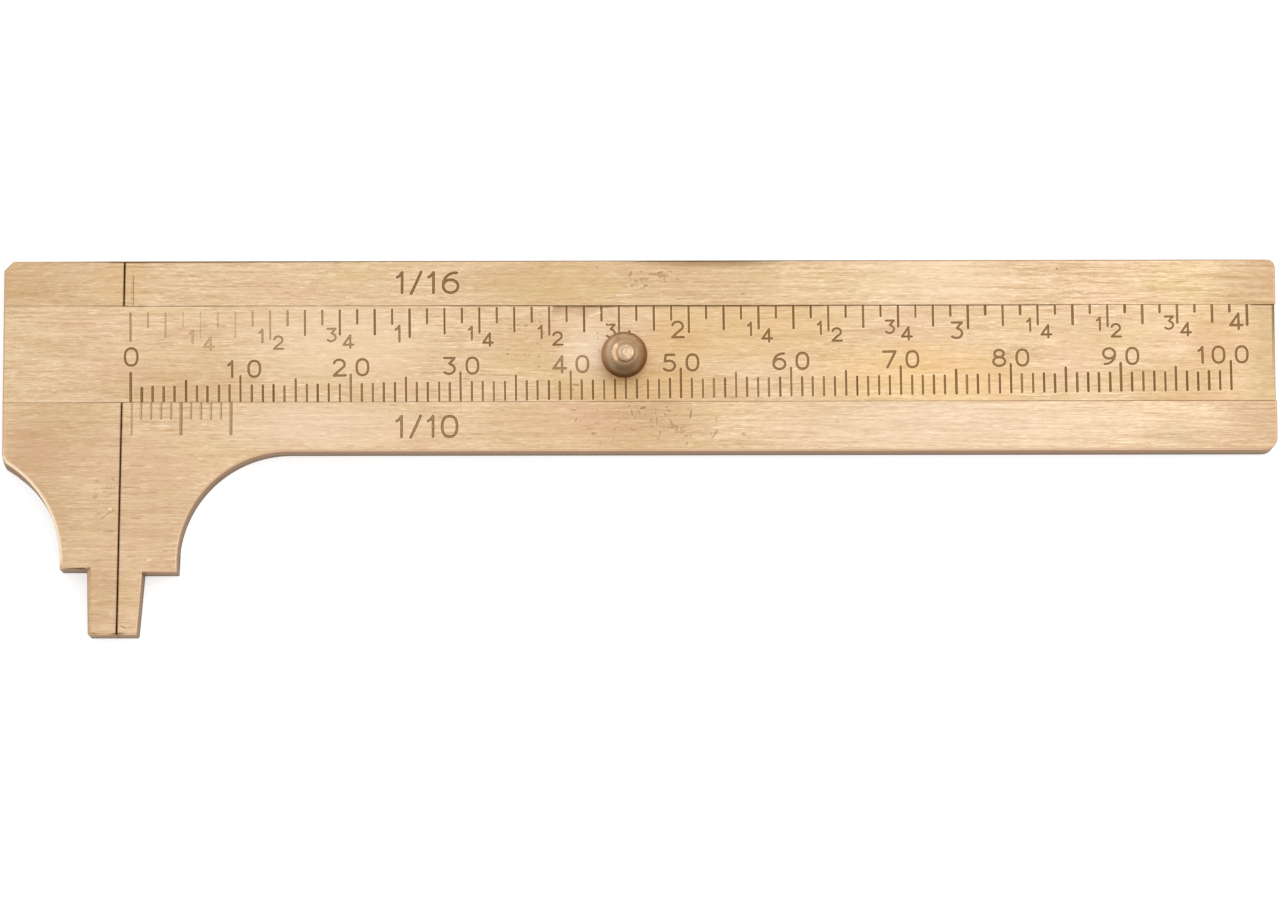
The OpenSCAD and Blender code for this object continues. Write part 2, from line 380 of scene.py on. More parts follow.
class Numerals:
    """Single-stroke numerals in an upright, rounded drawing hand, one unit high."""

    OVAL = 0.36
    FULLNESS = 2.4
    ONE_WIDTH = 0.34
    SLASH_WIDTH = 0.5
    WIDTH = 0.76
    GAP = 0.42

    def line(self, *corners: Point) -> Path:
        """An open stroke through corners."""
        return np.array(corners), False

    def bowl(self, start: list[Point], bend: np.ndarray, end: list[Point]) -> Path:
        """An open stroke of straight runs before and after a bend."""
        runs = [np.reshape(start, (-1, 2)), bend, np.reshape(end, (-1, 2))]
        return np.concatenate(runs), False

    def strokes(self, sign: str) -> list[Path]:
        """The strokes of a sign, each with whether it is closed.

        Args:
            sign: A digit, or the bar of a fraction.

        Returns:
            Paths in a box one unit high that starts at x = 0.
        """
        six = np.concatenate([
            arc((0.62, 0.36), (0.6, 0.62), 84, 178, 8)[:-1],
            arc((0.39, 0.32), (0.365, 0.32), 180, 538, 18),
        ])
        shapes: dict[str, list[Path]] = {
            "0": [(self.oval(), True)],
            "1": [self.line((0, 0.76), (0.12, 0.84), (0.24, 1)),
                  self.line((0.24, 1), (0.24, 0.5), (0.24, 0))],
            "2": [self.bowl([], arc((0.385, 0.7), (0.335, 0.3), 165, -32, 12),
                            [(0.36, 0.3), (0.04, 0)]),
                  self.line((0.04, 0), (0.4, 0), (0.78, 0))],
            "3": [self.line((0.08, 1), (0.4, 1), (0.72, 1)),
                  self.bowl([(0.72, 1), (0.36, 0.61)],
                            arc((0.36, 0.305), (0.36, 0.305), 82, -140, 14), [])],
            "4": [self.line((0.56, 1), (0.3, 0.63), (0.02, 0.25)),
                  self.line((0.02, 0.25), (0.4, 0.25), (0.8, 0.25)),
                  self.line((0.56, 1), (0.56, 0.5), (0.56, 0))],
            "5": [self.line((0.7, 1), (0.42, 1), (0.17, 1)),
                  self.bowl([(0.17, 1), (0.1, 0.52)],
                            arc((0.36, 0.315), (0.375, 0.315), 125, -145, 14), [])],
            "6": [(six, False)],
            "7": [self.line((0.02, 1), (0.4, 1), (0.78, 1)),
                  self.line((0.78, 1), (0.52, 0.5), (0.26, 0))],
            "8": [(arc((0.38, 0.77), (0.29, 0.23), 0, 345, 18), True),
                  (arc((0.38, 0.275), (0.37, 0.275), 0, 345, 20), True)],
            "9": [(np.array([0.77, 1]) - six, False)],
            "/": [self.line((0, -0.04), (0.24, 0.48), (0.48, 1.02))],
        }
        return shapes[sign]

    def oval(self) -> np.ndarray:
        """A nought: an ellipse pressed out to a higher exponent, so that its sides are fuller."""
        a = np.radians(np.arange(0, 360, 15))
        power = 2 / self.FULLNESS
        x = np.sign(np.cos(a)) * np.abs(np.cos(a)) ** power
        y = np.sign(np.sin(a)) * np.abs(np.sin(a)) ** power
        return np.stack([self.OVAL + self.OVAL * x, 0.5 + 0.5 * y], axis=1)

    def width(self, sign: str) -> float:
        """How wide a sign is, in units of its height."""
        return {"1": self.ONE_WIDTH, "/": self.SLASH_WIDTH}.get(sign, self.WIDTH)

    def write(self, text: str, centre: Point, height: float, width: float, depth: float,
              tone: float, gap: float | None = None) -> list[Stroke]:
        """Signs set side by side round a centre.

        Args:
            text: Signs to write.
            centre: Middle of the writing.
            height: Height of the signs.
            width: Width of the strokes.
            depth: Depth of the strokes.
            tone: Darkness of the strokes.
            gap: Space between two signs, in units of their height.

        Returns:
            The strokes.
        """
        space = self.GAP if gap is None else gap
        total = sum(self.width(s) for s in text) + space * (len(text) - 1)
        pen = -total / 2
        strokes = []
        for sign in text:
            for path, closed in self.strokes(sign):
                placed = (path + np.array([pen, -0.5])) * height + np.array(centre)
                strokes.append(Stroke(placed, width, depth, tone, closed))
            pen += self.width(sign) + space
        return strokes


@dataclass
class EngravedSlab:
    """A slab whose face is engraved and whose edges are rounded.

    Its face is a triangulated plan. The height of each point of the plan is the face's,
    less the larger of two drops. One is the rounding of the nearest edge, which is
    r - sqrt(r^2 - (r - d)^2) at a distance d, or r - d where r is so wide that it is a bevel.
    The other is a stroke's groove, depth (1 - q^2.4) at a share q of half its width. Walls
    run down from the plan's rim along each corner's lean, end in a small rounding, and a
    flat foot closes them.

    Attributes:
        outline: The plan.
        face: Height of the face.
        foot: Height of the foot.
        strokes: What is engraved on the face.
        foot_round: Radius along the foot.
        hole: Centre, radius at the face and radius at the foot of a round hole, if any.
    """

    outline: Outline
    face: float
    foot: float
    strokes: list[Stroke]
    foot_round: float
    hole: tuple[Point, float, float] | None = None

    TURNS = np.radians([0, 14, 28, 42, 56, 70, 82, 90])
    BEVELLED = 0.3
    BROWN_FROM = 0.1
    BROWN_DEPTH = 0.6
    GUARD = 0.03
    RUB = 0.22
    RUB_SOLID = 1.6
    # Width of the dark band of grime and painted shade, for each unit of wear below 0.
    GRIME = 0.2
    LIP = 0.05
    LIP_END = 0.13
    BAND_MIDDLE = 0.45
    SMOOTH_ANGLE = math.radians(22)

    HOLE_STEPS = 48
    AT_HOLE = 0.02
    IN_HOLE = 0.995

    GROOVE_LOOPS = (1.0, 0.7, 0.3)
    GROOVE_POWER = 2.4
    GROOVE_TONE = ((0.5, 1.0), (1.0, 0.55))
    LIP_TONE = (0.55, -0.3, 0.0)

    WALL_SHARES = (0.12, 0.5)
    UNDER_RIM = 0.01
    FOOT_TURNS = np.radians([0, 30, 60, 90])
    AT_CORNER = 1e-3
    AT_NEXT_FOOT = 0.9999

    WELD = 1e-5
    FOOT_WELD = 1e-7
    SLIVER = 1e-9

    def rub_loops(self) -> list[np.ndarray]:
        """Loops inside the outline that carry the rounding and the rubbed band."""
        radius = np.array(self.outline.rounds)
        wear = np.array(self.outline.wears)
        depths = [radius * (1 - math.cos(t)) for t in self.TURNS[1:]]
        depths.append(radius + self.GUARD)
        band = np.where(wear < 0, -self.GRIME * wear, np.maximum(self.RUB * wear, radius))
        depths.append(np.maximum(radius + self.GUARD * 2, band * self.BAND_MIDDLE))
        depths.append(np.maximum(radius + self.GUARD * 3, band + self.GUARD))
        return [self.outline.loop() + self.outline.mitres(d) for d in depths]

    def hole_loop(self) -> np.ndarray | None:
        """The rim of the hole at the face."""
        if self.hole is None:
            return None
        centre, radius, _ = self.hole
        return arc(centre, (radius, radius), 0, 360 - 360 / self.HOLE_STEPS, self.HOLE_STEPS - 1)

    def plan(self) -> tuple[np.ndarray, np.ndarray]:
        """Triangulates the plan with every loop and stroke as a line in it.

        Returns:
            Points of the plan, and triangles of their numbers, anticlockwise.
        """
        loops = [self.outline.stations(1 - np.cos(self.TURNS[1:]))] + self.rub_loops()
        rim = self.hole_loop()
        if rim is not None:
            loops.append(rim)
        for stroke in self.strokes:
            half = stroke.width / 2
            inner = [half * share for share in self.GROOVE_LOOPS]
            for reach in (half + self.LIP_END, half + self.LIP, *inner):
                loops += stroke.offset(reach)
        chains = [(loop, True) for loop in loops]
        chains += [(stroke.path, False) for stroke in self.strokes if not stroke.closed]
        points, lines, total = [], [], 0
        for chain, closed in chains:
            number = np.arange(len(chain)) + total
            after = np.roll(number, -1)
            lines.append(np.stack([number, after], axis=1)[:None if closed else -1])
            points.append(chain)
            total += len(chain)
        flat = np.concatenate(points)
        found = delaunay_2d_cdt([Vector(p) for p in flat.tolist()],
                                np.concatenate(lines).tolist(), [], 0, self.WELD, False)
        plan = np.array([tuple(v) for v in found[0]])
        faces = np.array(found[2])
        middle = plan[faces].mean(axis=1)
        keep = inside(middle, self.outline.loop())
        if rim is not None:
            keep &= ~inside(middle, rim)
        a, b, c = plan[faces[:, 0]], plan[faces[:, 1]], plan[faces[:, 2]]
        area = np.cross(b - a, c - a) / 2
        keep &= np.abs(area) > self.SLIVER
        faces = faces[keep]
        flipped = area[keep] < 0
        faces[flipped] = faces[flipped][:, ::-1]
        used, compact = np.unique(faces, return_inverse=True)
        return plan[used], compact.reshape(faces.shape)

    def edge_field(self, plan: np.ndarray) -> tuple[np.ndarray, np.ndarray]:
        """The rounding's drop and the rubbed band at each point of the plan.

        Args:
            plan: Points of the plan.

        Returns:
            The drop in millimetres, and the edge tone: 1 on a rubbed edge, 2 where a painted
            highlight lies on it and down to -1 in a band of grime and painted shade.
        """
        a = self.outline.loop()
        b = np.roll(a, -1, axis=0)
        drop = np.zeros(len(plan))
        rub_and_painted_light = np.zeros(len(plan))
        finish = np.stack([self.outline.rounds, self.outline.wears], axis=1)
        for radius, wear in np.unique(finish, axis=0):
            chosen = (finish == (radius, wear)).all(axis=1)
            d, _ = segment_reach(plan, a[chosen], b[chosen], np.ones(chosen.sum()))
            near = np.clip(radius - d, 0, radius)
            if radius < self.BEVELLED:
                near = radius - np.sqrt(radius ** 2 - near ** 2)
            drop = np.maximum(drop, near)
            # Below 0 the edge takes a dark band of grime and painted shade.
            if wear < 0:
                share = -np.clip(2 + 2 * d / (self.GRIME * wear), 0, 1)
            else:
                reach = max(self.RUB * wear, radius)
                share = wear * np.clip(self.RUB_SOLID * (1 - d / reach), 0, 1)
            rub_and_painted_light = np.where(np.abs(share) > np.abs(rub_and_painted_light), share, rub_and_painted_light)
        return drop, rub_and_painted_light

    def stroke_field(self, plan: np.ndarray) -> tuple[np.ndarray, np.ndarray]:
        """The grooves' drop and their darkness at each point of the plan.

        Args:
            plan: Points of the plan.

        Returns:
            The drop in millimetres, and the tone: up to 1 in a groove, below 0 for the painted
                highlight on its lip.
        """
        if not self.strokes:
            return np.zeros(len(plan)), np.zeros(len(plan))
        starts, ends, owner = [], [], []
        for i, stroke in enumerate(self.strokes):
            path = stroke.path
            if stroke.closed:
                path = np.concatenate([path, path[:1]])
            starts.append(path[:-1])
            ends.append(path[1:])
            owner += [i] * (len(path) - 1)
        half = np.array([s.width for s in self.strokes])[owner] / 2
        q, nearest = segment_reach(plan, np.concatenate(starts), np.concatenate(ends), half)
        own = np.array(owner)[nearest]
        deep = np.array([s.depth for s in self.strokes])[own]
        tone = np.array([s.tone for s in self.strokes])[own]
        drop = deep * np.clip(1 - q ** self.GROOVE_POWER, 0, 1)
        past = (q - 1) * half[nearest]
        groove = np.interp(q, *self.GROOVE_TONE)
        # The lip just outside a groove takes a painted highlight, a tone below 0.
        lip_highlight = np.interp(past, [0, self.LIP, self.LIP_END], self.LIP_TONE)
        return drop, tone * np.where(q < 1, groove, np.where(tone > 0, lip_highlight, lip_highlight.clip(0)))

    def wall_rows(self, rim: np.ndarray,
                  top: np.ndarray) -> tuple[list[np.ndarray], list[np.ndarray]]:
        """Rows of points down the walls, below the plan's rim.

        Args:
            rim: Points of the rim, in the plan.
            top: Heights of those points.

        Returns:
            The rows' points in the plan, and their heights.
        """
        loop = self.outline.loop()
        after = np.roll(loop, -1, axis=0)
        _, edge = segment_reach(rim, loop, after, np.ones(len(loop)))
        step = after[edge] - loop[edge]
        t = ((rim - loop[edge]) * step).sum(axis=1) / (step ** 2).sum(axis=1)
        follows = (edge + 1) % len(loop)
        leans = np.array(self.outline.leans)
        feet = np.array(self.outline.feet) + self.foot
        lean = leans[edge] * (1 - t)[:, None] + leans[follows] * t[:, None]
        foot = np.where(t > self.AT_NEXT_FOOT, feet[follows], feet[edge])
        inward = self.outline.normals()[edge]
        corner = self.outline.mitres(np.ones(len(loop)))
        inward = np.where((t < self.AT_CORNER)[:, None], corner[edge], inward)
        inward = np.where((t > 1 - self.AT_CORNER)[:, None], corner[follows], inward)
        if self.hole is not None:
            centre, radius, foot_radius = self.hole
            spoke = rim - np.array(centre)
            round_hole = np.abs(np.linalg.norm(spoke, axis=1) - radius) < self.AT_HOLE
            lean = np.where(round_hole[:, None], spoke * (foot_radius / radius - 1), lean)
            inward = np.where(round_hole[:, None], spoke / radius, inward)
            foot = np.where(round_hole, self.foot, foot)
        total = self.face - foot
        rows, heights = [], []
        for share in self.WALL_SHARES:
            z = np.minimum(self.face - total * share, top - self.UNDER_RIM)
            rows.append(rim + lean * ((self.face - z) / total)[:, None])
            heights.append(z)
        for turn in self.FOOT_TURNS:
            z = foot + self.foot_round * (1 - math.sin(turn))
            move = self.foot_round * (1 - math.cos(turn))
            rows.append(rim + lean * ((self.face - z) / total)[:, None] + inward * move)
            heights.append(z)
        return rows, heights

    def build(self, name: str) -> bpy.types.Object:
        """Makes the slab's object.

        Args:
            name: Its name.

        Returns:
            The object, with the attributes engraved, rubbed and side on its points. Rubbed also
            carries painted highlights and bands of grime and painted shade, and side carries the
            walls' painted shade.
        """
        plan, faces = self.plan()
        edge_drop, rub_and_painted_light = self.edge_field(plan)
        stroke_drop, tone = self.stroke_field(plan)
        height = self.face - np.maximum(edge_drop, stroke_drop)
        if self.hole is not None:
            height = np.where(np.isclose(height, self.face), self.face, height)
        count = len(plan)
        edges = np.concatenate([faces[:, [0, 1]], faces[:, [1, 2]], faces[:, [2, 0]]])
        key = edges[:, 0] * count + edges[:, 1]
        back = edges[:, 1] * count + edges[:, 0]
        rim_edges = edges[~np.isin(key, back)]
        rim = np.unique(rim_edges)
        place = np.full(count, -1)
        place[rim] = np.arange(len(rim))
        rows, heights = self.wall_rows(plan[rim], height[rim])
        points = [np.column_stack([plan, height])]
        numbers = [rim]
        for i, (row, z) in enumerate(zip(rows, heights)):
            points.append(np.column_stack([row, z]))
            numbers.append(count + i * len(rim) + np.arange(len(rim)))
        a, b = place[rim_edges[:, 0]], place[rim_edges[:, 1]]
        quads = np.concatenate([
            np.stack([low[a], low[b], high[b], high[a]], axis=1)
            for high, low in zip(numbers[:-1], numbers[1:])])
        foot_faces = self.close_foot(rows[-1], np.stack([a, b], axis=1), numbers[-1])
        shape = faces.tolist() + quads.tolist() + foot_faces.tolist()
        obj = mesh_object(name, np.concatenate(points), shape, self.SMOOTH_ANGLE)
        # Deep roundings and bevels take the walls' colour, with its painted shade.
        bevel = np.clip((edge_drop - self.BROWN_FROM) / self.BROWN_DEPTH, 0, 1)
        for layer, on_face, on_walls in (("engraved", tone, 0.0), ("rubbed", rub_and_painted_light, 1.0),
                                         ("side", bevel, 1.0)):
            walls = np.full(len(rim) * len(rows), on_walls)
            paint(obj, layer, np.concatenate([on_face, walls]))
        return obj

    def close_foot(self, row: np.ndarray, edges: np.ndarray, numbers: np.ndarray) -> np.ndarray:
        """Triangulates the foot inside the last row of the walls.

        Args:
            row: Points of that row, in the plan.
            edges: Pairs of them that follow one another.
            numbers: Their numbers in the mesh.

        Returns:
            Triangles that face down.
        """
        found = delaunay_2d_cdt([Vector(p) for p in row.tolist()], edges.tolist(), [], 0,
                                self.FOOT_WELD, True)
        flat = np.array([tuple(v) for v in found[0]])
        faces = np.array(found[2])
        source = np.array([ids[0] if len(ids) else -1 for ids in found[3]])
        middle = flat[faces].mean(axis=1)
        loop = self.outline.loop() + np.array(self.outline.leans)
        keep = inside(middle, loop)
        if self.hole is not None:
            centre, _, foot_radius = self.hole
            away = np.linalg.norm(middle - np.array(centre), axis=1)
            keep &= away > foot_radius * self.IN_HOLE
        faces = faces[keep]
        faces = faces[(source[faces] >= 0).all(axis=1)]
        a, b, c = flat[faces[:, 0]], flat[faces[:, 1]], flat[faces[:, 2]]
        upward = np.cross(b - a, c - a) > 0
        faces[upward] = faces[upward][:, ::-1]
        return numbers[source[faces]]


@dataclass
class Turning:
    """A turned piece: a profile of radius and height carried round an upright axis.

    Attributes:
        profile: Pairs of radius and height, from the top to the foot.
        centre: Where the axis stands in the plan.
        closed: Whether the profile closes on itself, as round a bore.
    """

    profile: np.ndarray
    centre: Point
    closed: bool = False

    STEPS = 144
    SMOOTH_ANGLE = math.radians(35)

    def build(self, name: str,
              change: Callable[[np.ndarray], np.ndarray] | None = None) -> bpy.types.Object:
        """Makes the turned object. A point stands at centre + r (cos a, sin a), z.

        Args:
            name: Its name.
            change: Moves the points, such as for hammer marks.

        Returns:
            The object.
        """
        radius, height = self.profile[:, 0], self.profile[:, 1]
        body = slice(None) if self.closed else slice(1, -1)
        r, z = radius[body], height[body]
        a = np.linspace(0, 2 * math.pi, self.STEPS, endpoint=False)
        grid = np.stack([
            self.centre[0] + r[:, None] * np.cos(a), self.centre[1] + r[:, None] * np.sin(a),
            np.broadcast_to(z[:, None], (len(r), self.STEPS))], axis=2)
        points = grid.reshape(-1, 3)
        number = np.arange(len(points)).reshape(len(r), self.STEPS)
        rows = np.concatenate([number, number[:1]]) if self.closed else number
        upper, lower = rows[:-1], rows[1:]
        corners = [upper, lower, np.roll(lower, -1, axis=1), np.roll(upper, -1, axis=1)]
        faces = np.stack(corners, axis=2).reshape(-1, 4).tolist()
        if not self.closed:
            top, foot = len(points), len(points) + 1
            poles = [[*self.centre, height[0]], [*self.centre, height[-1]]]
            points = np.concatenate([points, poles])
            first, last = number[0], number[-1]
            for pole, start, end in ((top, first, np.roll(first, -1)),
                                     (foot, np.roll(last, -1), last)):
                faces += np.stack([np.full(self.STEPS, pole), start, end], axis=1).tolist()
        if change is not None:
            points = change(points)
        return mesh_object(name, points, faces, self.SMOOTH_ANGLE)


def mesh_object(name: str, points: np.ndarray, faces: list[list[int]],
                sharp: float) -> bpy.types.Object:
    """Makes an object at the origin from points in millimetres.

    Args:
        name: Its name.
        points: Its points.
        faces: Its faces, outward.
        sharp: Angle in radians past which an edge stays sharp.

    Returns:
        The object, linked to the scene.
    """
    mesh = bpy.data.meshes.new(name)
    mesh.from_pydata((points * MM).tolist(), [], faces)
    mesh.validate()
    mesh.shade_smooth()
    mesh.set_sharp_from_angle(angle=sharp)
    obj = bpy.data.objects.new(name, mesh)
    bpy.context.scene.collection.objects.link(obj)
    return obj


def paint(obj: bpy.types.Object, name: str, values: np.ndarray) -> None:
    """Stores a value for each point of a piece.

    Args:
        obj: The piece.
        name: Name of the attribute.
        values: One value a point.
    """
    layer = obj.data.attributes.new(name, "FLOAT", "POINT")
    layer.data.foreach_set("value", np.ascontiguousarray(values, dtype=np.float32))


class Value:
    """A shader socket that can stand in an expression, which adds Math nodes."""

    def __init__(self, tree: "Tree", socket: Socket) -> None:
        """Wraps a socket of a tree."""
        self.tree = tree
        self.socket = socket

    def math(self, operation: str, first: "Value | float", second: "Value | float") -> "Value":
        """Adds one Math node.

        Args:
            operation: Its operation.
            first: Its first input.
            second: Its second input.

        Returns:
            Its result.
        """
        node = self.tree.node("ShaderNodeMath", {"operation": operation}, {0: first, 1: second})
        return Value(self.tree, node.outputs[0])

    def __add__(self, other: "Value | float") -> "Value":
        """This plus another."""
        return self.math("ADD", self, other)

    def __radd__(self, other: float) -> "Value":
        """A number plus this."""
        return self.math("ADD", other, self)

    def __sub__(self, other: "Value | float") -> "Value":
        """This less another."""
        return self.math("SUBTRACT", self, other)

    def __rsub__(self, other: float) -> "Value":
        """A number less this."""
        return self.math("SUBTRACT", other, self)

    def __mul__(self, other: "Value | float") -> "Value":
        """This times another."""
        return self.math("MULTIPLY", self, other)

    def __rmul__(self, other: float) -> "Value":
        """A number times this."""
        return self.math("MULTIPLY", other, self)

    def __neg__(self) -> "Value":
        """This with its sign changed."""
        return self.math("MULTIPLY", self, -1.0)

    def least(self, other: "Value | float") -> "Value":
        """The lesser of this and another."""
        return self.math("MINIMUM", self, other)

    def most(self, other: "Value | float") -> "Value":
        """The greater of this and another."""
        return self.math("MAXIMUM", self, other)

    def clamp(self) -> "Value":
        """This, kept within 0 and 1."""
        return self.least(1.0).most(0.0)

    def step(self, low: float, high: float) -> "Value":
        """A straight ramp from 0 at low to 1 at high."""
        return ((self - low) * (1 / (high - low))).clamp()


class Tree:
    """A material's or the world's nodes."""

    BUMP_STRENGTH = 0.5
    GRAZING_TINT = (0.6, 0.57, 0.55, 1.0)

    def __init__(self, owner: bpy.types.Material | bpy.types.World) -> None:
        """Starts the owner's nodes afresh."""
        owner.use_nodes = True
        self.nodes = owner.node_tree.nodes
        self.links = owner.node_tree.links
        self.nodes.clear()

    def node(self, kind: str, settings: dict[str, object] | None = None,
             inputs: dict[str | int, object] | None = None) -> bpy.types.Node:
        """Adds a node.

        Args:
            kind: Its type.
            settings: Its own properties, set first.
            inputs: Values or links for its sockets, by name or number.

        Returns:
            The node.
        """
        node = self.nodes.new(kind)
        for key, value in (settings or {}).items():
            setattr(node, key, value)
        for key, value in (inputs or {}).items():
            if isinstance(key, int):
                socket = node.inputs[key]
            else:
                socket = next(s for s in node.inputs if s.enabled and s.name == key)
            if isinstance(value, Value):
                value = value.socket
            if isinstance(value, Socket):
                self.links.new(value, socket)
            else:
                socket.default_value = value
        return node

    def out(self, node: bpy.types.Node, name: str) -> Value:
        """A node's output, by its name."""
        return Value(self, next(s for s in node.outputs if s.enabled and s.name == name))

    def attribute(self, name: str) -> Value:
        """A value stored on the mesh."""
        return self.out(self.node("ShaderNodeAttribute", {"attribute_name": name}), "Fac")

    def place(self) -> Socket:
        """The point's place on the object, in metres."""
        return self.node("ShaderNodeTexCoord").outputs["Object"]

    def parts(self, place: Socket) -> tuple[Value, Value, Value]:
        """A place's x, y and z."""
        node = self.node("ShaderNodeSeparateXYZ", {}, {0: place})
        return tuple(Value(self, socket) for socket in node.outputs)

    def noise(self, place: Socket, size: Triple, shift: float,
              detail: float, rough: float, turn: float = 0.0, warp: float = 0.0) -> Value:
        """A noise whose pattern is stretched, and turned about the upright axis.

        Args:
            place: The place in metres.
            size: Length of the pattern along x, y and z, in millimetres.
            shift: What is added to each axis, so that patterns differ.
            detail: Its octaves.
            rough: How strong the finer octaves are.
            turn: How far the pattern is turned, in degrees.
            warp: How far it is warped.

        Returns:
            A value round 0.5.
        """
        turned = self.node("ShaderNodeVectorRotate", {"rotation_type": "Z_AXIS"},
                           {"Vector": place, "Angle": math.radians(turn)}).outputs[0]
        scale = tuple(1 / (s * MM) for s in size)
        stretched = self.node("ShaderNodeVectorMath", {"operation": "MULTIPLY_ADD"},
                              {0: turned, 1: scale, 2: (shift,) * 3}).outputs[0]
        node = self.node("ShaderNodeTexNoise", {}, {
            "Vector": stretched, "Scale": 1.0, "Detail": detail, "Roughness": rough,
            "Distortion": warp})
        return self.out(node, "Fac")

    def mix(self, mask: Value, under: object, over: object) -> Socket:
        """Mixes two colours.

        Args:
            mask: How much of the second shows.
            under: The first colour, or a link.
            over: The second colour, or a link.

        Returns:
            The mixed colour.
        """
        node = self.node("ShaderNodeMix", {"data_type": "RGBA"},
                         {"Factor": mask, "A": under, "B": over})
        return next(s for s in node.outputs if s.enabled)

    def surface(self, colour: object, roughness: object, height: Value, depth: float) -> None:
        """Ends the tree in a metal surface with a bump.

        Args:
            colour: Base colour.
            roughness: Roughness.
            height: Height of the bump, in units of its depth.
            depth: Depth of the bump, in millimetres.
        """
        bump = self.node("ShaderNodeBump", {}, {
            "Height": height, "Distance": depth * MM, "Strength": self.BUMP_STRENGTH}).outputs[0]
        metal = self.node("ShaderNodeBsdfPrincipled", {}, {
            "Base Color": colour, "Roughness": roughness, "Normal": bump, "Metallic": 1.0,
            "Specular Tint": self.GRAZING_TINT})
        self.node("ShaderNodeOutputMaterial", {}, {"Surface": metal.outputs[0]})


@dataclass(frozen=True)
class Patch:
    """A soft oval patch in which a face has another tint, darker or paler.

    Attributes:
        centre: Its middle, in millimetres.
        radii: Its half width and half height.
        tint: Its colour.
        share: How much of that colour shows in the middle.
    """

    centre: Point
    radii: Point
    tint: Rgb
    share: float

    def mask(self, x: Value, y: Value) -> Value:
        """The share times 1 - u^2 - v^2, with u and v in radii from the centre."""
        u = x * (1 / (self.radii[0] * MM)) - self.centre[0] / self.radii[0]
        v = y * (1 / (self.radii[1] * MM)) - self.centre[1] / self.radii[1]
        return (1.0 - u * u - v * v).clamp() * self.share


# Soft patches in which the rails and the head take a darker or paler tint.
FACE_PATCHES = tuple(Patch(*row) for row in (
    ((52.5, 8.35), (8, 0.5), (150, 122, 90), 0.75),
    ((38, 6.5), (9, 3.4), (204, 166, 110), 0.42),
    ((51, 6.6), (9, 3.4), (196, 156, 104), 0.32),
    ((-11, 6.5), (8, 4.5), (196, 150, 98), 0.4),
    ((-6.5, -6.8), (7, 4.5), (204, 166, 118), 0.4),
    ((-10, -14), (6.5, 9), (192, 146, 108), 0.42),
    ((-2.5, -22), (3, 4.5), (196, 152, 118), 0.3),
    ((37, -6.6), (6, 3.5), (212, 176, 126), 0.35),
    ((46.5, -6.4), (7.5, 3.6), (190, 142, 96), 0.4),
    ((72, -6.6), (19, 4.5), (240, 220, 196), 0.3),
    ((86, -6.6), (20, 4.5), (252, 228, 202), 0.28),
    ((104.5, 6.5), (7, 5), (184, 144, 102), 0.5),
    ((104.5, -6.5), (7, 5), (188, 152, 116), 0.5),
    ((95.3, -7.8), (4.5, 2), (162, 144, 90), 0.22),
    ((73.5, 6.5), (9, 3.5), (255, 240, 205), 0.3),
    ((-1, 6.5), (3.5, 3.5), (213, 162, 90), 0.3),
    ((1, -14), (7, 9), (212, 168, 134), 0.3),
    ((17, -6.6), (11, 3), (252, 230, 204), 0.35),
))

# The same on the strip.
STRIP_PATCHES = tuple(Patch(*row) for row in (
    ((19, 1.2), (11, 4.4), (252, 228, 192), 0.45),
    ((41.8, -0.3), (3.4, 3.8), (254, 232, 206), 0.5),
    ((46, -3.2), (11, 2.8), (206, 158, 88), 0.45),
    ((57, 2.2), (11, 4), (222, 182, 112), 0.35),
    ((49.5, 0.5), (3.5, 4), (216, 168, 92), 0.3),
    ((5, -3), (9, 2.8), (200, 156, 88), 0.3),
    ((72, -2.2), (13, 3.5), (255, 208, 118), 0.28),
    ((95.5, -3), (7, 3.5), (200, 157, 90), 0.34),
    ((99, 1.5), (3.5, 4.5), (202, 162, 98), 0.34),
    ((36, 1), (4, 3), (216, 180, 124), 0.35),
))


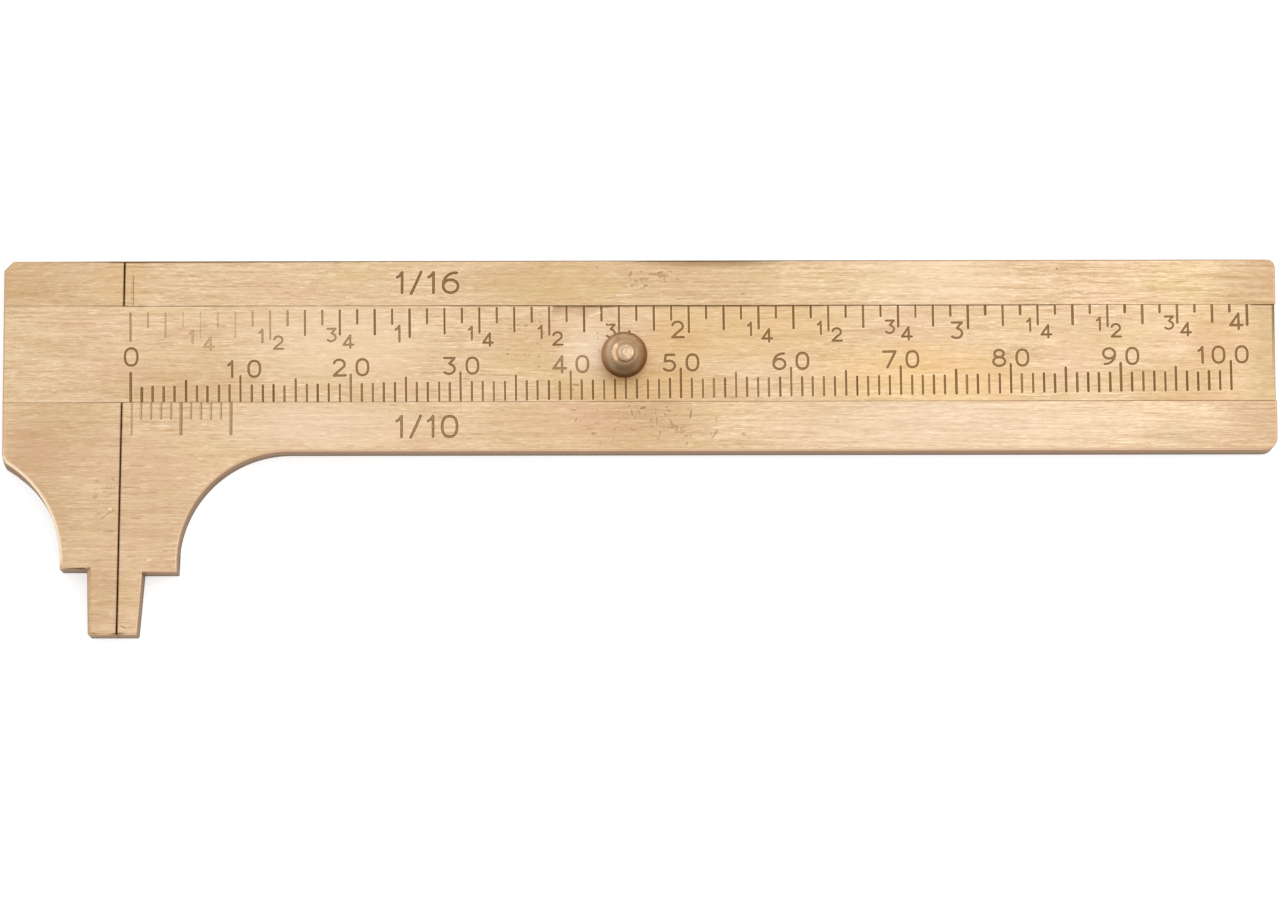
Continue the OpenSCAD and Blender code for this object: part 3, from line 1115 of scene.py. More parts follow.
@dataclass(frozen=True)
class BrushedBrass:
    """Brass brushed along the scale, rubbed pale and pink at its edges, brown in its cuts, with
    painted highlights on edges and along its cuts, and painted shade on its walls and seams.

    Attributes:
        name: The material's name.
        light: Colour of the bright streaks.
        dark: Colour of the dull streaks.
        pink: Colour of the coppery areas.
        green: Colour of the yellower areas.
        cut: Colour of the dirt in the engraving.
        grime: Colour of the dark bands along the seams, the jaw faces and stretches of the
        upper edge: grime, with the painted shade of the narrow gaps.
        edge: Colour of the rubbed edges, pink and pale, lightened as a painted highlight over the
            shade
        of their rounding.
        bright: Colour of bright flecks and scratches, and of the painted highlights on the
            brightest edges
        and along the lips of the cuts.
        side: Colour of the side walls at the face, darker than the face as painted shade.
        foot: Colour of the side walls at the back, darker still as painted shade towards the floor.
        shift: Moves the pattern, so that neighbours differ.
        dull_from: Where along the scale the face begins to go dull, in millimetres.
        stronger: How much stronger the streaks are towards the free end.
        patches: Patches of another tint.
    """

    name: str
    light: Rgb = (254, 228, 193)
    dark: Rgb = (204, 166, 121)
    pink: Rgb = (238, 196, 166)
    green: Rgb = (228, 204, 148)
    cut: Rgb = (158, 119, 70)
    grime: Rgb = (120, 84, 48)
    edge: Rgb = (240, 196, 164)
    bright: Rgb = (255, 236, 204)
    side: Rgb = (176, 140, 104)
    foot: Rgb = (116, 96, 78)
    shift: float = 0.0
    dull_from: float = 200.0
    stronger: float = 0.0
    patches: tuple[Patch, ...] = ()

    TALL = 0.0035
    CALM_TO = 40.0
    STRONG_FROM = 85.0
    STRENGTH = 1.1
    DULL = (188, 160, 108)
    DULL_SHARE = 0.4
    BUMP = 0.006

    LONG = (5.5, 0.2, 0.2)
    FINE = (0.8, 0.11, 0.11)
    GRAIN = (0.2, 0.1, 0.1)
    FLECK = (1.2, 0.15, 0.15)
    BROAD = (9, 5, 5)
    YELLOW = (13, 4, 4)
    HAIR = (7.5, 0.1, 0.1)

    def material(self) -> bpy.types.Material:
        """Builds the material: long and short streaks, broad tints, cuts and edges, with painted
        highlights and painted shade.
        """
        made = bpy.data.materials.new(self.name)
        tree = Tree(made)
        place = tree.place()
        long = tree.noise(place, self.LONG, self.shift, 3, 0.6)
        fine = tree.noise(place, self.FINE, self.shift + 9, 2, 0.6)
        grain = tree.noise(place, self.GRAIN, self.shift + 12, 1, 0.5)
        fleck = tree.noise(place, self.FLECK, self.shift + 4, 2, 0.5, -1, 0.15)
        broad = tree.noise(place, self.BROAD, self.shift + 2, 2, 0.5)
        yellow = tree.noise(place, self.YELLOW, self.shift + 6, 2, 0.5)
        x, y, z = tree.parts(place)
        streak = long.step(0.3, 0.7) * 0.46 + fine.step(0.28, 0.72) * 0.36
        streak = streak + grain.step(0.25, 0.75) * 0.18
        far = x.step(self.CALM_TO * MM, self.STRONG_FROM * MM)
        strong = far * self.stronger + self.STRENGTH
        streak = ((streak - 0.5) * strong + 0.5).clamp()
        tint = tree.mix(streak, linear(self.dark), linear(self.light))
        tint = tree.mix(broad.step(0.45, 0.75) * 0.5, tint, linear(self.pink))
        tint = tree.mix(yellow.step(0.48, 0.75) * 0.42, tint, linear(self.green))
        hair = tree.noise(place, self.HAIR, self.shift + 15, 1, 0.4, 1.5)
        hair = hair.step(0.58, 0.68) * (far * self.stronger + 0.25)
        tint = tree.mix(hair, tint, linear(self.dark))
        tint = tree.mix(fleck.step(0.61, 0.7) * 0.7, tint, linear(self.dark))
        tint = tree.mix(fleck.step(0.38, 0.3) * 0.7, tint, linear(self.bright))
        for patch in self.patches:
            tint = tree.mix(patch.mask(x, y), tint, linear(patch.tint))
        dull = x.step(self.dull_from * MM, (self.dull_from + 2) * MM)
        tint = tree.mix(dull * self.DULL_SHARE, tint, linear(self.DULL))
        rubbed = tree.attribute("rubbed")
        # Rubbed edges, lightened as a painted highlight over the shade of their rounding.
        tint = tree.mix(rubbed.step(0.1, 1.0) * 0.55, tint, linear(self.edge))
        # Painted highlight: where the rubbing is above 1 the edge takes the bright colour, as a
        # glint.
        tint = tree.mix(rubbed.step(1.0, 1.6) * (fleck + 0.45).clamp(), tint, linear(self.bright))
        # Grime and painted shade: a dark band where the rubbing is below 0, along the seams, the
        # jaw faces and stretches of the upper edge.
        tint = tree.mix((-rubbed).clamp() * (fleck * 0.5 + 0.6).clamp(), tint, linear(self.grime))
        # Painted shade: walls and deep bevels take a darker colour than the face, darkest at the
        # back towards the floor.
        wall = tree.mix(z.step(0.0, self.TALL), linear(self.foot), linear(self.side))
        aside = tree.attribute("side").step(0.0, 0.7) * (long * 0.3 + 0.78).clamp()
        tint = tree.mix(aside, tint, wall)
        engraved = tree.attribute("engraved")
        uneven = long * 0.5 + 0.72
        tint = tree.mix((engraved * uneven).clamp(), tint, linear(self.cut))
        # Painted highlight: a pale band along the lips of the cuts; bright scratches, whose tone is
        # below 0, take the same colour.
        tint = tree.mix((-engraved).clamp(), tint, linear(self.bright))
        rough = 0.5 - streak * 0.12 + engraved.clamp() * 0.2
        tree.surface(tint, rough, streak + fleck * 0.5, self.BUMP)
        return made


@dataclass(frozen=True)
class AgedBrass:
    """Turned brass that has gone brown in the hand, with its turning marks left in it.

    Attributes:
        name: The material's name.
        centre: Axis of the turned piece, in millimetres.
        radius: Its radius.
        light: Colour where it is rubbed.
        dark: Colour where it is dull.
        mauve: Colour painted on its right side as light and shade.
        low: Colour painted on the side towards the jaws as shade.
        worn: Colour of the crown, where it is worn, and of the painted light on the left side and
            below the widest place.
        waist: Height of the widest place, in millimetres.
        crown: Height of the crown.
        roughness: Its mean roughness.
    """

    name: str
    centre: Point
    radius: float
    light: Rgb = (220, 184, 142)
    dark: Rgb = (178, 142, 104)
    mauve: Rgb = (150, 112, 84)
    low: Rgb = (98, 75, 44)
    worn: Rgb = (236, 202, 170)
    waist: float = 0.0
    crown: float = 100.0
    roughness: float = 0.36

    RINGS = (6, 6, 0.09)
    BLOTCH = (1.1, 1.1, 0.9)
    SPECK = (0.12, 0.12, 0.12)
    BUMP = 0.008

    def material(self) -> bpy.types.Material:
        """Builds the material: turning marks by height, blotches of brown, a worn crown, and light
        and
        shade painted by side: paler on the left and below the widest place, another tone on the
        right, darker towards the jaws.
        """
        made = bpy.data.materials.new(self.name)
        tree = Tree(made)
        place = tree.place()
        rings = tree.noise(place, self.RINGS, 1, 2, 0.6)
        blotch = tree.noise(place, self.BLOTCH, 5, 3, 0.6)
        speck = tree.noise(place, self.SPECK, 3, 2, 0.5)
        mask = rings.step(0.3, 0.7) * 0.35 + blotch.step(0.35, 0.65) * 0.65
        tint = tree.mix(mask, linear(self.dark), linear(self.light))
        x, y, z = tree.parts(place)
        right = (x - self.centre[0] * MM) * (1 / (self.radius * MM))
        below = (self.centre[1] * MM - y) * (1 / (self.radius * MM))
        painted_underside_light = z.step((self.waist - 0.1) * MM, (self.waist - 0.5) * MM)
        crown = z.step((self.crown - 0.07) * MM, (self.crown - 0.02) * MM)
        # Painted shading on the right side.
        tint = tree.mix(right.step(0.6, 0.95) * 0.8, tint, linear(self.mauve))
        # Painted light on the left side, less of it on the crown.
        tint = tree.mix((-right).step(0.25, 0.6) * (0.85 - crown * 0.5), tint, linear(self.worn))
        # Painted shade on the side towards the jaws.
        tint = tree.mix(below.step(0.1, 0.85) * 0.85, tint, linear(self.low))
        tint = tree.mix(crown * 0.25, tint, linear(self.worn))
        tint = tree.mix(speck.step(0.62, 0.72) * 0.5, tint, linear(self.dark))
        # Painted light below the widest place, which pales the ball's underside.
        tint = tree.mix(painted_underside_light * 0.8, tint, linear(self.worn))
        rough = self.roughness + speck * 0.16 - mask * 0.06
        tree.surface(tint, rough, rings + speck * 0.4, self.BUMP)
        return made


@dataclass(frozen=True)
class PaperFloor:
    """A white floor, which shows white to the camera where no shadow lies on it.

    Attributes:
        name: The material's name.
        paper: How much light the paper gives back.
        glow: How much it glows to plain sight.
    """

    name: str = "white_floor"
    paper: float = 0.9
    glow: float = 0.55

    def material(self) -> bpy.types.Material:
        """Builds the material: white paper, with a glow that only plain sight gets."""
        made = bpy.data.materials.new(self.name)
        tree = Tree(made)
        sight = tree.node("ShaderNodeLightPath")
        seen = tree.out(sight, "Is Camera Ray").most(tree.out(sight, "Is Glossy Ray"))
        white = (self.paper,) * 3 + (1.0,)
        paper = tree.node("ShaderNodeBsdfDiffuse", {}, {"Color": white}).outputs[0]
        glow = tree.node("ShaderNodeEmission", {}, {
            "Color": WHITE, "Strength": seen * self.glow}).outputs[0]
        both = tree.node("ShaderNodeAddShader", {}, {0: paper, 1: glow}).outputs[0]
        tree.node("ShaderNodeOutputMaterial", {}, {"Surface": both})
        return made


@dataclass(frozen=True)
class Sizes:
    """The caliper's sizes in millimetres, the outer ones from the frame's solids.

    Attributes:
        fixed_face: Jaw face of the beam, on the middle line of the channel.
        moving_face: Jaw face of the head, on the same line.
        left: Left side of the head.
        right: Free end of the beam.
        strip_right: Free end of the strip.
        top: Upper side of the beam.
        low: Lower side of the beam.
        half_channel: Half the channel's width at the face.
        plate: Thickness of the back plates.
        face: Height of the face.
        nib_end: Height of the nibs' ends in the plan.
    """

    fixed_face: float
    moving_face: float
    left: float
    right: float
    strip_right: float
    top: float
    low: float
    half_channel: float
    plate: float
    face: float
    nib_end: float

    FLOOR_CLEAR = 0.1
    STRIP_CLEAR = 0.06
    FLANK_SLOPE = math.tan(math.radians(30))
    FACE_SLOPE = math.tan(math.radians(0.67))
    NIB_REACH = 16.7
    PLATE_FOOT = 0.12
    RAIL_FOOT = 0.03

    @classmethod
    def from_frame(cls) -> "Sizes":
        """Reads the sizes off the frame's solids."""
        rail_low, rail_high = box_mm("upper_rail")
        lower_low, _ = box_mm("lower_rail")
        head_low, head_high = box_mm("head_block")
        _, strip_high = box_mm("scale_strip")
        _, plate_high = box_mm("beam_plate")
        return cls(
            fixed_face=rail_low[0] - rail_low[1] * cls.FACE_SLOPE,
            moving_face=head_high[0] - head_high[1] * cls.FACE_SLOPE, left=head_low[0],
            right=rail_high[0], strip_right=strip_high[0], top=rail_high[1],
            low=lower_low[1] + cls.NIB_REACH, half_channel=rail_low[1],
            plate=plate_high[2], face=rail_high[2], nib_end=lower_low[1])

    def flank(self) -> float:
        """How far the channel's flank runs out under a rail."""
        return (self.face - self.plate) * self.FLANK_SLOPE


@dataclass(frozen=True)
class JawForm:
    """The plan of a bar with its jaw and nib, drawn from its jaw face along +X.

    Attributes:
        jaw_len: From the bar's lower side to the jaw's shoulder.
        nib_w: Width of the nib at the shoulder.
        nib_taper: How much narrower the nib is at its end.
        nib_round: Radius along the nib's outer edges.
        slope: How far the jaw face stands off for each millimetre above mid channel.
        jaw_w: Width of the jaw at its shoulder.
        curve_r: Radius of the hollow curve.
        curve_edge: Rounding and rubbing of the hollow curve's edge; a rubbing above 1 paints a
            highlight along it.
        filed: How far the hollow curve's wall runs out below its edge, at the bar.
        worn: How far the bar's corner at that curve is worn up.
        nib_wear: Rubbing of the nib's outer edges.
    """

    jaw_len: float
    nib_w: float
    nib_taper: float
    nib_round: float
    slope: float
    jaw_w: float = 5.25
    curve_r: float = 10.1
    curve_edge: Point = (0.15, 1.0)
    filed: float = 0.0
    worn: float = 0.0
    nib_wear: float = 1.0

    OUTER = 0.15
    JAW_FACE = 0.045
    CLOSER = 0.025
    NIB_CORNER = 0.16
    NIB_STEPS = 6
    # The jaw faces' finish: a dark band of grime and painted shade where the closed jaws meet.
    DIRT = -0.6
    CURVE_STEPS = 44
    FILED_POWER = 1.3
    PAST_CORNER = 0.12

    def face(self, y: float) -> float:
        """Where the jaw face stands at a height, a hair closer to the other than the frame's."""
        return y * self.slope - self.CLOSER

    def flank(self, sizes: Sizes, up: int) -> Point:
        """How far a flank's foot stands off its head, with up = 1 above the channel."""
        return up * sizes.flank() * self.slope, up * sizes.flank()

    def below(self, sizes: Sizes, length: float, filed: float = 0.0) -> Outline:
        """Starts an outline at the nib's inner corner and goes round to the bar's low side.

        The hollow curve's wall leans by filed times a power of the way along it.

        Args:
            sizes: The caliper's sizes.
            length: Length of the bar from its jaw face at mid channel.
            filed: How far that wall leans out below its edge, at the bar.

        Returns:
            The outline so far, open at the bar's far low corner.
        """
        plan = Outline()
        end, shoulder = sizes.nib_end, sizes.low - self.jaw_len
        r = self.NIB_CORNER
        base = self.CLOSER + self.nib_w
        tip = self.face(end) + base - self.nib_taper
        plan.to(self.face(end), end, self.OUTER)
        plan.curve(arc((tip - r, end + r), (r, r), 270, 360, self.NIB_STEPS), self.nib_round,
                   self.nib_wear)
        plan.to(self.face(shoulder) + base, shoulder, self.OUTER)
        jaw_x = self.face(shoulder) + self.CLOSER + self.jaw_w
        plan.to(jaw_x, shoulder, self.OUTER)
        centre = (jaw_x + self.curve_r, sizes.low - self.curve_r)
        last = 90.0
        if length < centre[0]:
            last = 180 - math.degrees(math.acos((centre[0] - length) / self.curve_r))
        path = arc(centre, (self.curve_r,) * 2, 180, last, self.CURVE_STEPS)
        share = np.linspace(0, 1, len(path)) ** self.FILED_POWER
        lean = (np.array(centre) - path) / self.curve_r * (filed * share)[:, None]
        path[-1, 1] += self.worn
        plan.curve(path - lean, *self.curve_edge, lean)
        plan.rounds[-1], plan.wears[-1] = self.OUTER, 1.0
        return plan


@dataclass
class Piece:
    """One finished piece: its mesh, the body it rides on and the finish it takes.

    Attributes:
        obj: The mesh object.
        body: The body it rides on.
        slot: Which finish it takes.
        node: The frame solid it stands for.
    """

    obj: bpy.types.Object
    body: Body
    slot: Slot
    node: str

    def settle(self, material: bpy.types.Material) -> None:
        """Gives the piece its material and its body, and hides the frame solid it stands for.

        Args:
            material: The finish.
        """
        self.obj.data.materials.append(material)
        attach(self.obj, self.body.value)
        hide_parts(self.node)
        faces = len(self.obj.data.polygons)
        log.info("%s rides on %s, %d faces", self.obj.name, self.body.value, faces)


@dataclass
class Scales:
    """What is engraved on the strip, in a frame that leans by a small angle about the zero.

    Attributes:
        lean: The angle, in degrees.
        mm_low: Foot of the millimetre lines.
        mm_lengths: Lengths of the plain, fifth, tenth and zero lines.
        inch_top: Top of the inch lines.
        inch_lengths: Lengths of the sixteenth, eighth and half lines.
        mm_count: Number of millimetres.
        inch_count: Number of sixteenths.
        numerals: The hand in which the numbers are cut.
    """

    lean: float = 0.75
    mm_low: float = -4.8
    mm_lengths: tuple[float, float, float, float] = (1.86, 2.38, 2.76, 3.2)
    inch_top: float = 3.85
    inch_lengths: Triple = (1.48, 2.44, 2.72)
    mm_count: int = 100
    inch_count: int = 64
    numerals: Numerals = field(default_factory=Numerals)

    DEPTH = 0.075
    ZERO_HEIGHT = 1.58
    NUMERAL_HEIGHT = 1.46
    NUMERAL_CUT = (0.21, 0.07)
    FRACTION_HEIGHT = 1.15
    FRACTION_CUT = (0.18, 0.055)
    WHOLE_HEIGHT = 1.43
    WHOLE_CUT = (0.2, 0.065)
    ZERO_PLACE = (0.09, -0.25)
    NUMERAL_Y = -1.51
    TENS_PLACES = (-1.04, 1.1)
    HUNDRED_PLACES = (-2.65, -1.06, 1.05)
    FIRST_TEN_SHIFT = 0.17
    WHOLE_PLACE = (-1.04, 1.54)
    THIRD_INCH_DROP = 0.45
    FRACTION_PLACES = ((-0.78, 1.5), (0.73, 0.87))
    UNWORN = 0.85
    WORN_LINES = (0.7, 0.4, 0.34, 0.14, 0.14, 0.2, 0.24, 0.42, 0.44, 0.55, 0.8, 0.66)

    def leaning(self, strokes: Iterable[Stroke]) -> list[Stroke]:
        """The strokes, turned by the lean about the zero.

        Args:
            strokes: Strokes in the upright frame.

        Returns:
            Strokes in the caliper's frame.
        """
        a = math.radians(self.lean)
        turn = np.array([[math.cos(a), math.sin(a)], [-math.sin(a), math.cos(a)]])
        return [Stroke(s.path @ turn, s.width, s.depth, s.tone, s.closed) for s in strokes]

    def line(self, x: float, low: float, high: float, width: float, tone: float) -> Stroke:
        """An upright line whose round ends lie at low and high."""
        half = width / 2
        path = np.array([[x, low + half], [x, (low + high) / 2], [x, high - half]])
        return Stroke(path, width, self.DEPTH * (0.35 + 0.65 * tone), tone)

    def line_width(self, x: float) -> float:
        """Lines are cut widest by the zero and narrowest in the middle of the strip."""
        return 0.18 + 0.08 * math.exp(-x / 8) + 0.035 * smooth(60, 92, x)

    def millimetres(self, chance: np.random.Generator) -> list[Stroke]:
        """The millimetre lines, each a little unlike the next."""
        lines = []
        for i in range(self.mm_count + 1):
            kind = 3 if i == 0 else 2 if i % 10 == 0 else 1 if i % 5 == 0 else 0
            length = self.mm_lengths[kind] + chance.normal(0, 0.03)
            tone = 0.9 - 0.16 * math.exp(-((i - 45) / 26) ** 2) + chance.normal(0, 0.07)
            width = self.line_width(i) * (1 + chance.normal(0, 0.09))
            low = self.mm_low + chance.normal(0, 0.015)
            x = i + chance.normal(0, 0.012)
            lines.append(self.line(x, low, low + length, width, min(tone, 1.0)))
        return lines

    def inches(self, chance: np.random.Generator) -> list[Stroke]:
        """The inch lines, worn faint over the first half inch."""
        lines = []
        for i in range(self.inch_count + 1):
            x = i * INCH / 16
            kind = 2 if i % 8 == 0 else 1 if i % 2 == 0 else 0
            worn = self.WORN_LINES[i] if i < len(self.WORN_LINES) else self.UNWORN
            length = self.inch_lengths[kind] + chance.normal(0, 0.03)
            tone = max(worn + chance.normal(0, 0.05), 0.06)
            width = self.line_width(x) * (0.72 + 0.28 * smooth(6, 20, x))
            width *= 1 + chance.normal(0, 0.08)
            lines.append(self.line(x, self.inch_top - length, self.inch_top, width, tone))
        return lines

    def centimetre_numerals(self) -> list[Stroke]:
        """The numerals 0 to 100, whose digits stand on both sides of their line."""
        write = self.numerals.write
        strokes = write("0", self.ZERO_PLACE, self.ZERO_HEIGHT, *self.NUMERAL_CUT, 0.85)
        for i in range(10, 101, 10):
            tone = 0.6 if i == 40 else 0.8
            places = self.HUNDRED_PLACES if i == 100 else self.TENS_PLACES
            shift = self.FIRST_TEN_SHIFT if i == 10 else 0.0
            for digit, dx in zip(str(i), places):
                strokes += write(digit, (i + dx + shift, self.NUMERAL_Y), self.NUMERAL_HEIGHT,
                                 *self.NUMERAL_CUT, tone)
        return strokes

    def inch_numerals(self) -> list[Stroke]:
        """Quarters as stepped fractions on both sides of their line, and whole inches."""
        write = self.numerals.write
        strokes = []
        for i in range(1, 17):
            x = i * INCH / 4
            worn = 0.14 + 0.42 * smooth(6, 13, x) + 0.26 * smooth(14, 30, x)
            if i % 4 == 0:
                dx, y = self.WHOLE_PLACE
                drop = self.THIRD_INCH_DROP if i == 12 else 0.0
                strokes += write(str(i // 4), (x + dx, y - drop), self.WHOLE_HEIGHT,
                                 *self.WHOLE_CUT, worn)
                continue
            signs = ("1", "2") if i % 4 == 2 else (str(i % 4), "4")
            for digit, (dx, y), tone in zip(signs, self.FRACTION_PLACES, (worn, worn + 0.08)):
                strokes += write(digit, (x + dx, y), self.FRACTION_HEIGHT, *self.FRACTION_CUT, tone)
        return strokes

    def strokes(self) -> list[Stroke]:
        """Everything on the strip, in the caliper's frame."""
        chance = np.random.default_rng(SEED)
        return self.leaning([*self.millimetres(chance), *self.inches(chance),
                             *self.centimetre_numerals(), *self.inch_numerals()])


@dataclass
class Bruises:
    """Dings and rubs on the face, most of them where the thumb and a vice once held it.

    Attributes:
        chance: Source of their places.
    """

    chance: np.random.Generator

    DEPTH = 0.012
    WIDTH = (0.09, 0.2)
    FAINTEST = 0.05

    def cluster(self, count: int, low: Point, high: Point, length: Point, tone: float,
                upright: float) -> list[Stroke]:
        """Short shallow strokes, scattered over a rectangle.

        Args:
            count: How many.
            low: Its lower left corner.
            high: Its upper right corner.
            length: Least and greatest length.
            tone: Mean darkness.
            upright: Share of them that run across the brushing.

        Returns:
            The strokes.
        """
        strokes = []
        for _ in range(count):
            x, y = self.chance.uniform(low, high)
            reach = self.chance.uniform(*length)
            mean = 90 if self.chance.random() < upright else 4
            angle = math.radians(self.chance.normal(mean, 12))
            step = np.array([math.cos(angle), math.sin(angle)]) * reach / 2
            bend = np.array([-step[1], step[0]]) * self.chance.normal(0, 0.2)
            path = np.array([[x, y] - step, [x, y] + bend, [x, y] + step])
            width = self.chance.uniform(*self.WIDTH)
            dark = max(tone + self.chance.normal(0, 0.08), self.FAINTEST)
            strokes.append(Stroke(path, width, self.DEPTH, dark))
        return strokes

    def marks(self, dings: Iterable[Ding]) -> list[Stroke]:
        """Single dings, listed one by one.

        Args:
            dings: Start, end, width and tone of each. A tone below 0 makes a bright scratch.

        Returns:
            The strokes.
        """
        strokes = []
        for start, end, width, tone in dings:
            a, b = np.array(start), np.array(end)
            strokes.append(Stroke(np.stack([a, (a + b) / 2, b]), width, self.DEPTH, tone))
        return strokes


@dataclass
class Beam:
    """The fixed half: back plate, two rails and the fixed jaw.

    Attributes:
        sizes: The caliper's sizes.
        jaw: Plan of the fixed jaw.
        corner_r: Radius of the upper corner at the free end.
        low_corner_r: Radius of the lower corner there, which has worn rounder.
        vernier_lines: Lengths of the short and the long vernier lines.
        index_line: Length of the index line on the upper rail.
        label_x: Middle of the labels on the rails.
        label_height: Height of the labels.
        numerals: The hand in which the labels are cut.
    """

    sizes: Sizes
    jaw: JawForm = JawForm(11.0, 2.15, 0.4, 0.1, Sizes.FACE_SLOPE)
    corner_r: float = 0.75
    low_corner_r: float = 1.15
    vernier_lines: tuple[float, float] = (1.6, 3.05)
    index_line: float = 2.8
    label_x: float = 27.0
    label_height: float = 1.88
    numerals: Numerals = field(default_factory=Numerals)

    CHANNEL = 0.025
    CORNER_STEPS = 9
    VERNIER_START = 0.1
    VERNIER_STEP = 0.907
    VERNIER_WIDTHS = (0.22, 0.31)
    LONG_TONES = (0.3, 0.62, 0.6)
    SHORT_TONE = 0.42
    INTO_CHANNEL = 0.3
    INDEX_X = 0.14
    LABEL_CUT = (0.24, 0.09)
    LABEL_GAP = 0.34
    UPPER_LABEL_DROP = 2.02
    LOWER_LABEL_DROP = 2.25
    # Stretches along the upper edge: rubbed above 0, and below 0 a dark band of grime and painted
    # shade.
    EDGE_DIRT = ((99, -0.5), (92, 1), (88, -0.6), (80, 1), (63, -0.7), (57, -1), (48, -0.7),
                 (41, 1))
    UPPER_DINGS = (
        ((47.3, 7.3), (48.6, 7.2), 0.15, 0.35),
        ((46.7, 6.2), (46.95, 6.25), 0.2, 0.45),
        ((44.2, 5.36), (45.5, 5.42), 0.12, -0.9),
        ((84.25, 7.72), (84.35, 7.7), 0.12, 0.9),
    )
    LOWER_DINGS = (
        ((46.4, -5.06), (46.75, -4.97), 0.22, 0.62),
        ((46.1, -5.15), (46.3, -5.6), 0.14, 0.32),
        ((45.5, -5.2), (45.6, -5.65), 0.18, 0.42),
        ((50.85, -5.9), (50.95, -5.25), 0.2, 0.5),
        ((47.8, -6.5), (47.82, -5.9), 0.14, 0.34),
        ((52.9, -7.7), (53.3, -7.1), 0.2, 0.4),
        ((55.6, -7.4), (55.8, -7.42), 0.24, 0.34),
        ((40.1, -5.2), (40.5, -5.2), 0.12, 0.42),
        ((40.4, -6.2), (40.55, -6), 0.16, 0.42),
        ((-0.5, -12.2), (0.9, -12.25), 0.1, 0.2),
        ((0.1, -10.2), (1.15, -10.25), 0.1, 0.24),
        ((0.2, -15), (0.9, -15.05), 0.1, 0.22),
        ((3.1, -18.05), (3.5, -18), 0.12, 0.26),
        ((1.75, -18.85), (2, -18.8), 0.2, -0.7),
        ((-0.6, -24.85), (-0.2, -25), 0.12, 0.6),
    )

    def corner(self, plan: Outline, y: float, up: int) -> None:
        """Adds a rounded corner at the free end.

        Args:
            plan: The outline, in the frame of the jaw face.
            y: Height of the corner.
            up: 1 for the upper corner and -1 for the lower.
        """
        r = self.corner_r if up > 0 else self.low_corner_r
        x = self.sizes.right - self.sizes.fixed_face - r
        start = -90 if up < 0 else 0
        turn = arc((x, y - up * r), (r, r), start, start + 90, self.CORNER_STEPS)
        plan.curve(turn, self.jaw.OUTER)

    def moved(self, plan: Outline) -> Outline:
        """The outline moved from the jaw face's frame to the caliper's."""
        plan.points = [(x + self.sizes.fixed_face, y) for x, y in plan.points]
        return plan

    def plate_plan(self) -> Outline:
        """The whole beam's plan."""
        s = self.sizes
        plan = self.jaw.below(s, s.right - s.fixed_face)
        self.corner(plan, s.low, -1)
        self.corner(plan, s.top, 1)
        plan.to(self.jaw.face(s.top), s.top, self.jaw.JAW_FACE)
        return self.moved(plan)

    def lower_plan(self) -> Outline:
        """The lower rail's plan, with the fixed jaw."""
        s = self.sizes
        length = s.right - s.fixed_face
        plan = self.jaw.below(s, length)
        self.corner(plan, s.low, -1)
        plan.to(length, -s.half_channel, self.CHANNEL, 0.12, (0.0, -s.flank()))
        plan.to(self.jaw.face(-s.half_channel), -s.half_channel, self.jaw.JAW_FACE, JawForm.DIRT,
                self.jaw.flank(s, -1))
        return self.moved(plan)

    def upper_plan(self) -> Outline:
        """The upper rail's plan."""
        s = self.sizes
        length = s.right - s.fixed_face
        plan = Outline()
        plan.to(self.jaw.face(s.half_channel), s.half_channel, self.CHANNEL, 0.1,
                self.jaw.flank(s, 1))
        plan.to(length, s.half_channel, self.jaw.OUTER, 1.0, (0.0, s.flank()))
        self.corner(plan, s.top, 1)
        for x, dirt in self.EDGE_DIRT:
            plan.to(x, s.top, self.jaw.OUTER, dirt)
        plan.to(self.jaw.face(s.top), s.top, self.jaw.JAW_FACE, JawForm.DIRT)
        return self.moved(plan)

    def vernier(self) -> list[Stroke]:
        """Ten divisions in nine millimetres, below the channel, and the fifths longer."""
        lines = []
        start = -self.sizes.half_channel + self.INTO_CHANNEL
        for i in range(11):
            long = i % 5 == 0
            tone = self.LONG_TONES[i // 5] if long else self.SHORT_TONE
            width = self.VERNIER_WIDTHS[long]
            x = self.VERNIER_START + i * self.VERNIER_STEP
            low = -self.sizes.half_channel - self.vernier_lines[long] + width / 2
            path = np.array([[x, start], [x, low + 0.5], [x, low]])
            lines.append(Stroke(path, width, 0.03 + 0.04 * tone, tone))
        return lines

    def label(self, text: str, y: float, tone: float) -> list[Stroke]:
        """A label on a rail, with its middle at a height."""
        return self.numerals.write(text, (self.label_x, y), self.label_height, *self.LABEL_CUT,
                                   tone, self.LABEL_GAP)

    def upper_strokes(self) -> list[Stroke]:
        """The index line, the sixteenths' label and the bruises on the upper rail."""
        x, low = self.INDEX_X, self.sizes.half_channel
        start, end = low - self.INTO_CHANNEL, low + self.index_line - 0.1
        line = np.array([[x, start], [x, low + 1], [x, end]])
        bruise = Bruises(np.random.default_rng(SEED + 1))
        label = self.label("1/16", self.sizes.top - self.UPPER_LABEL_DROP, 0.85)
        return [Stroke(line, 0.24, 0.05, 0.25), *label,
                *bruise.cluster(16, (45.2, 6.3), (49.2, 7.7), (0.12, 0.5), 0.32, 0.15),
                *bruise.cluster(7, (38, 5), (58, 8.1), (0.1, 0.35), 0.24, 0.2),
                *bruise.marks(self.UPPER_DINGS)]

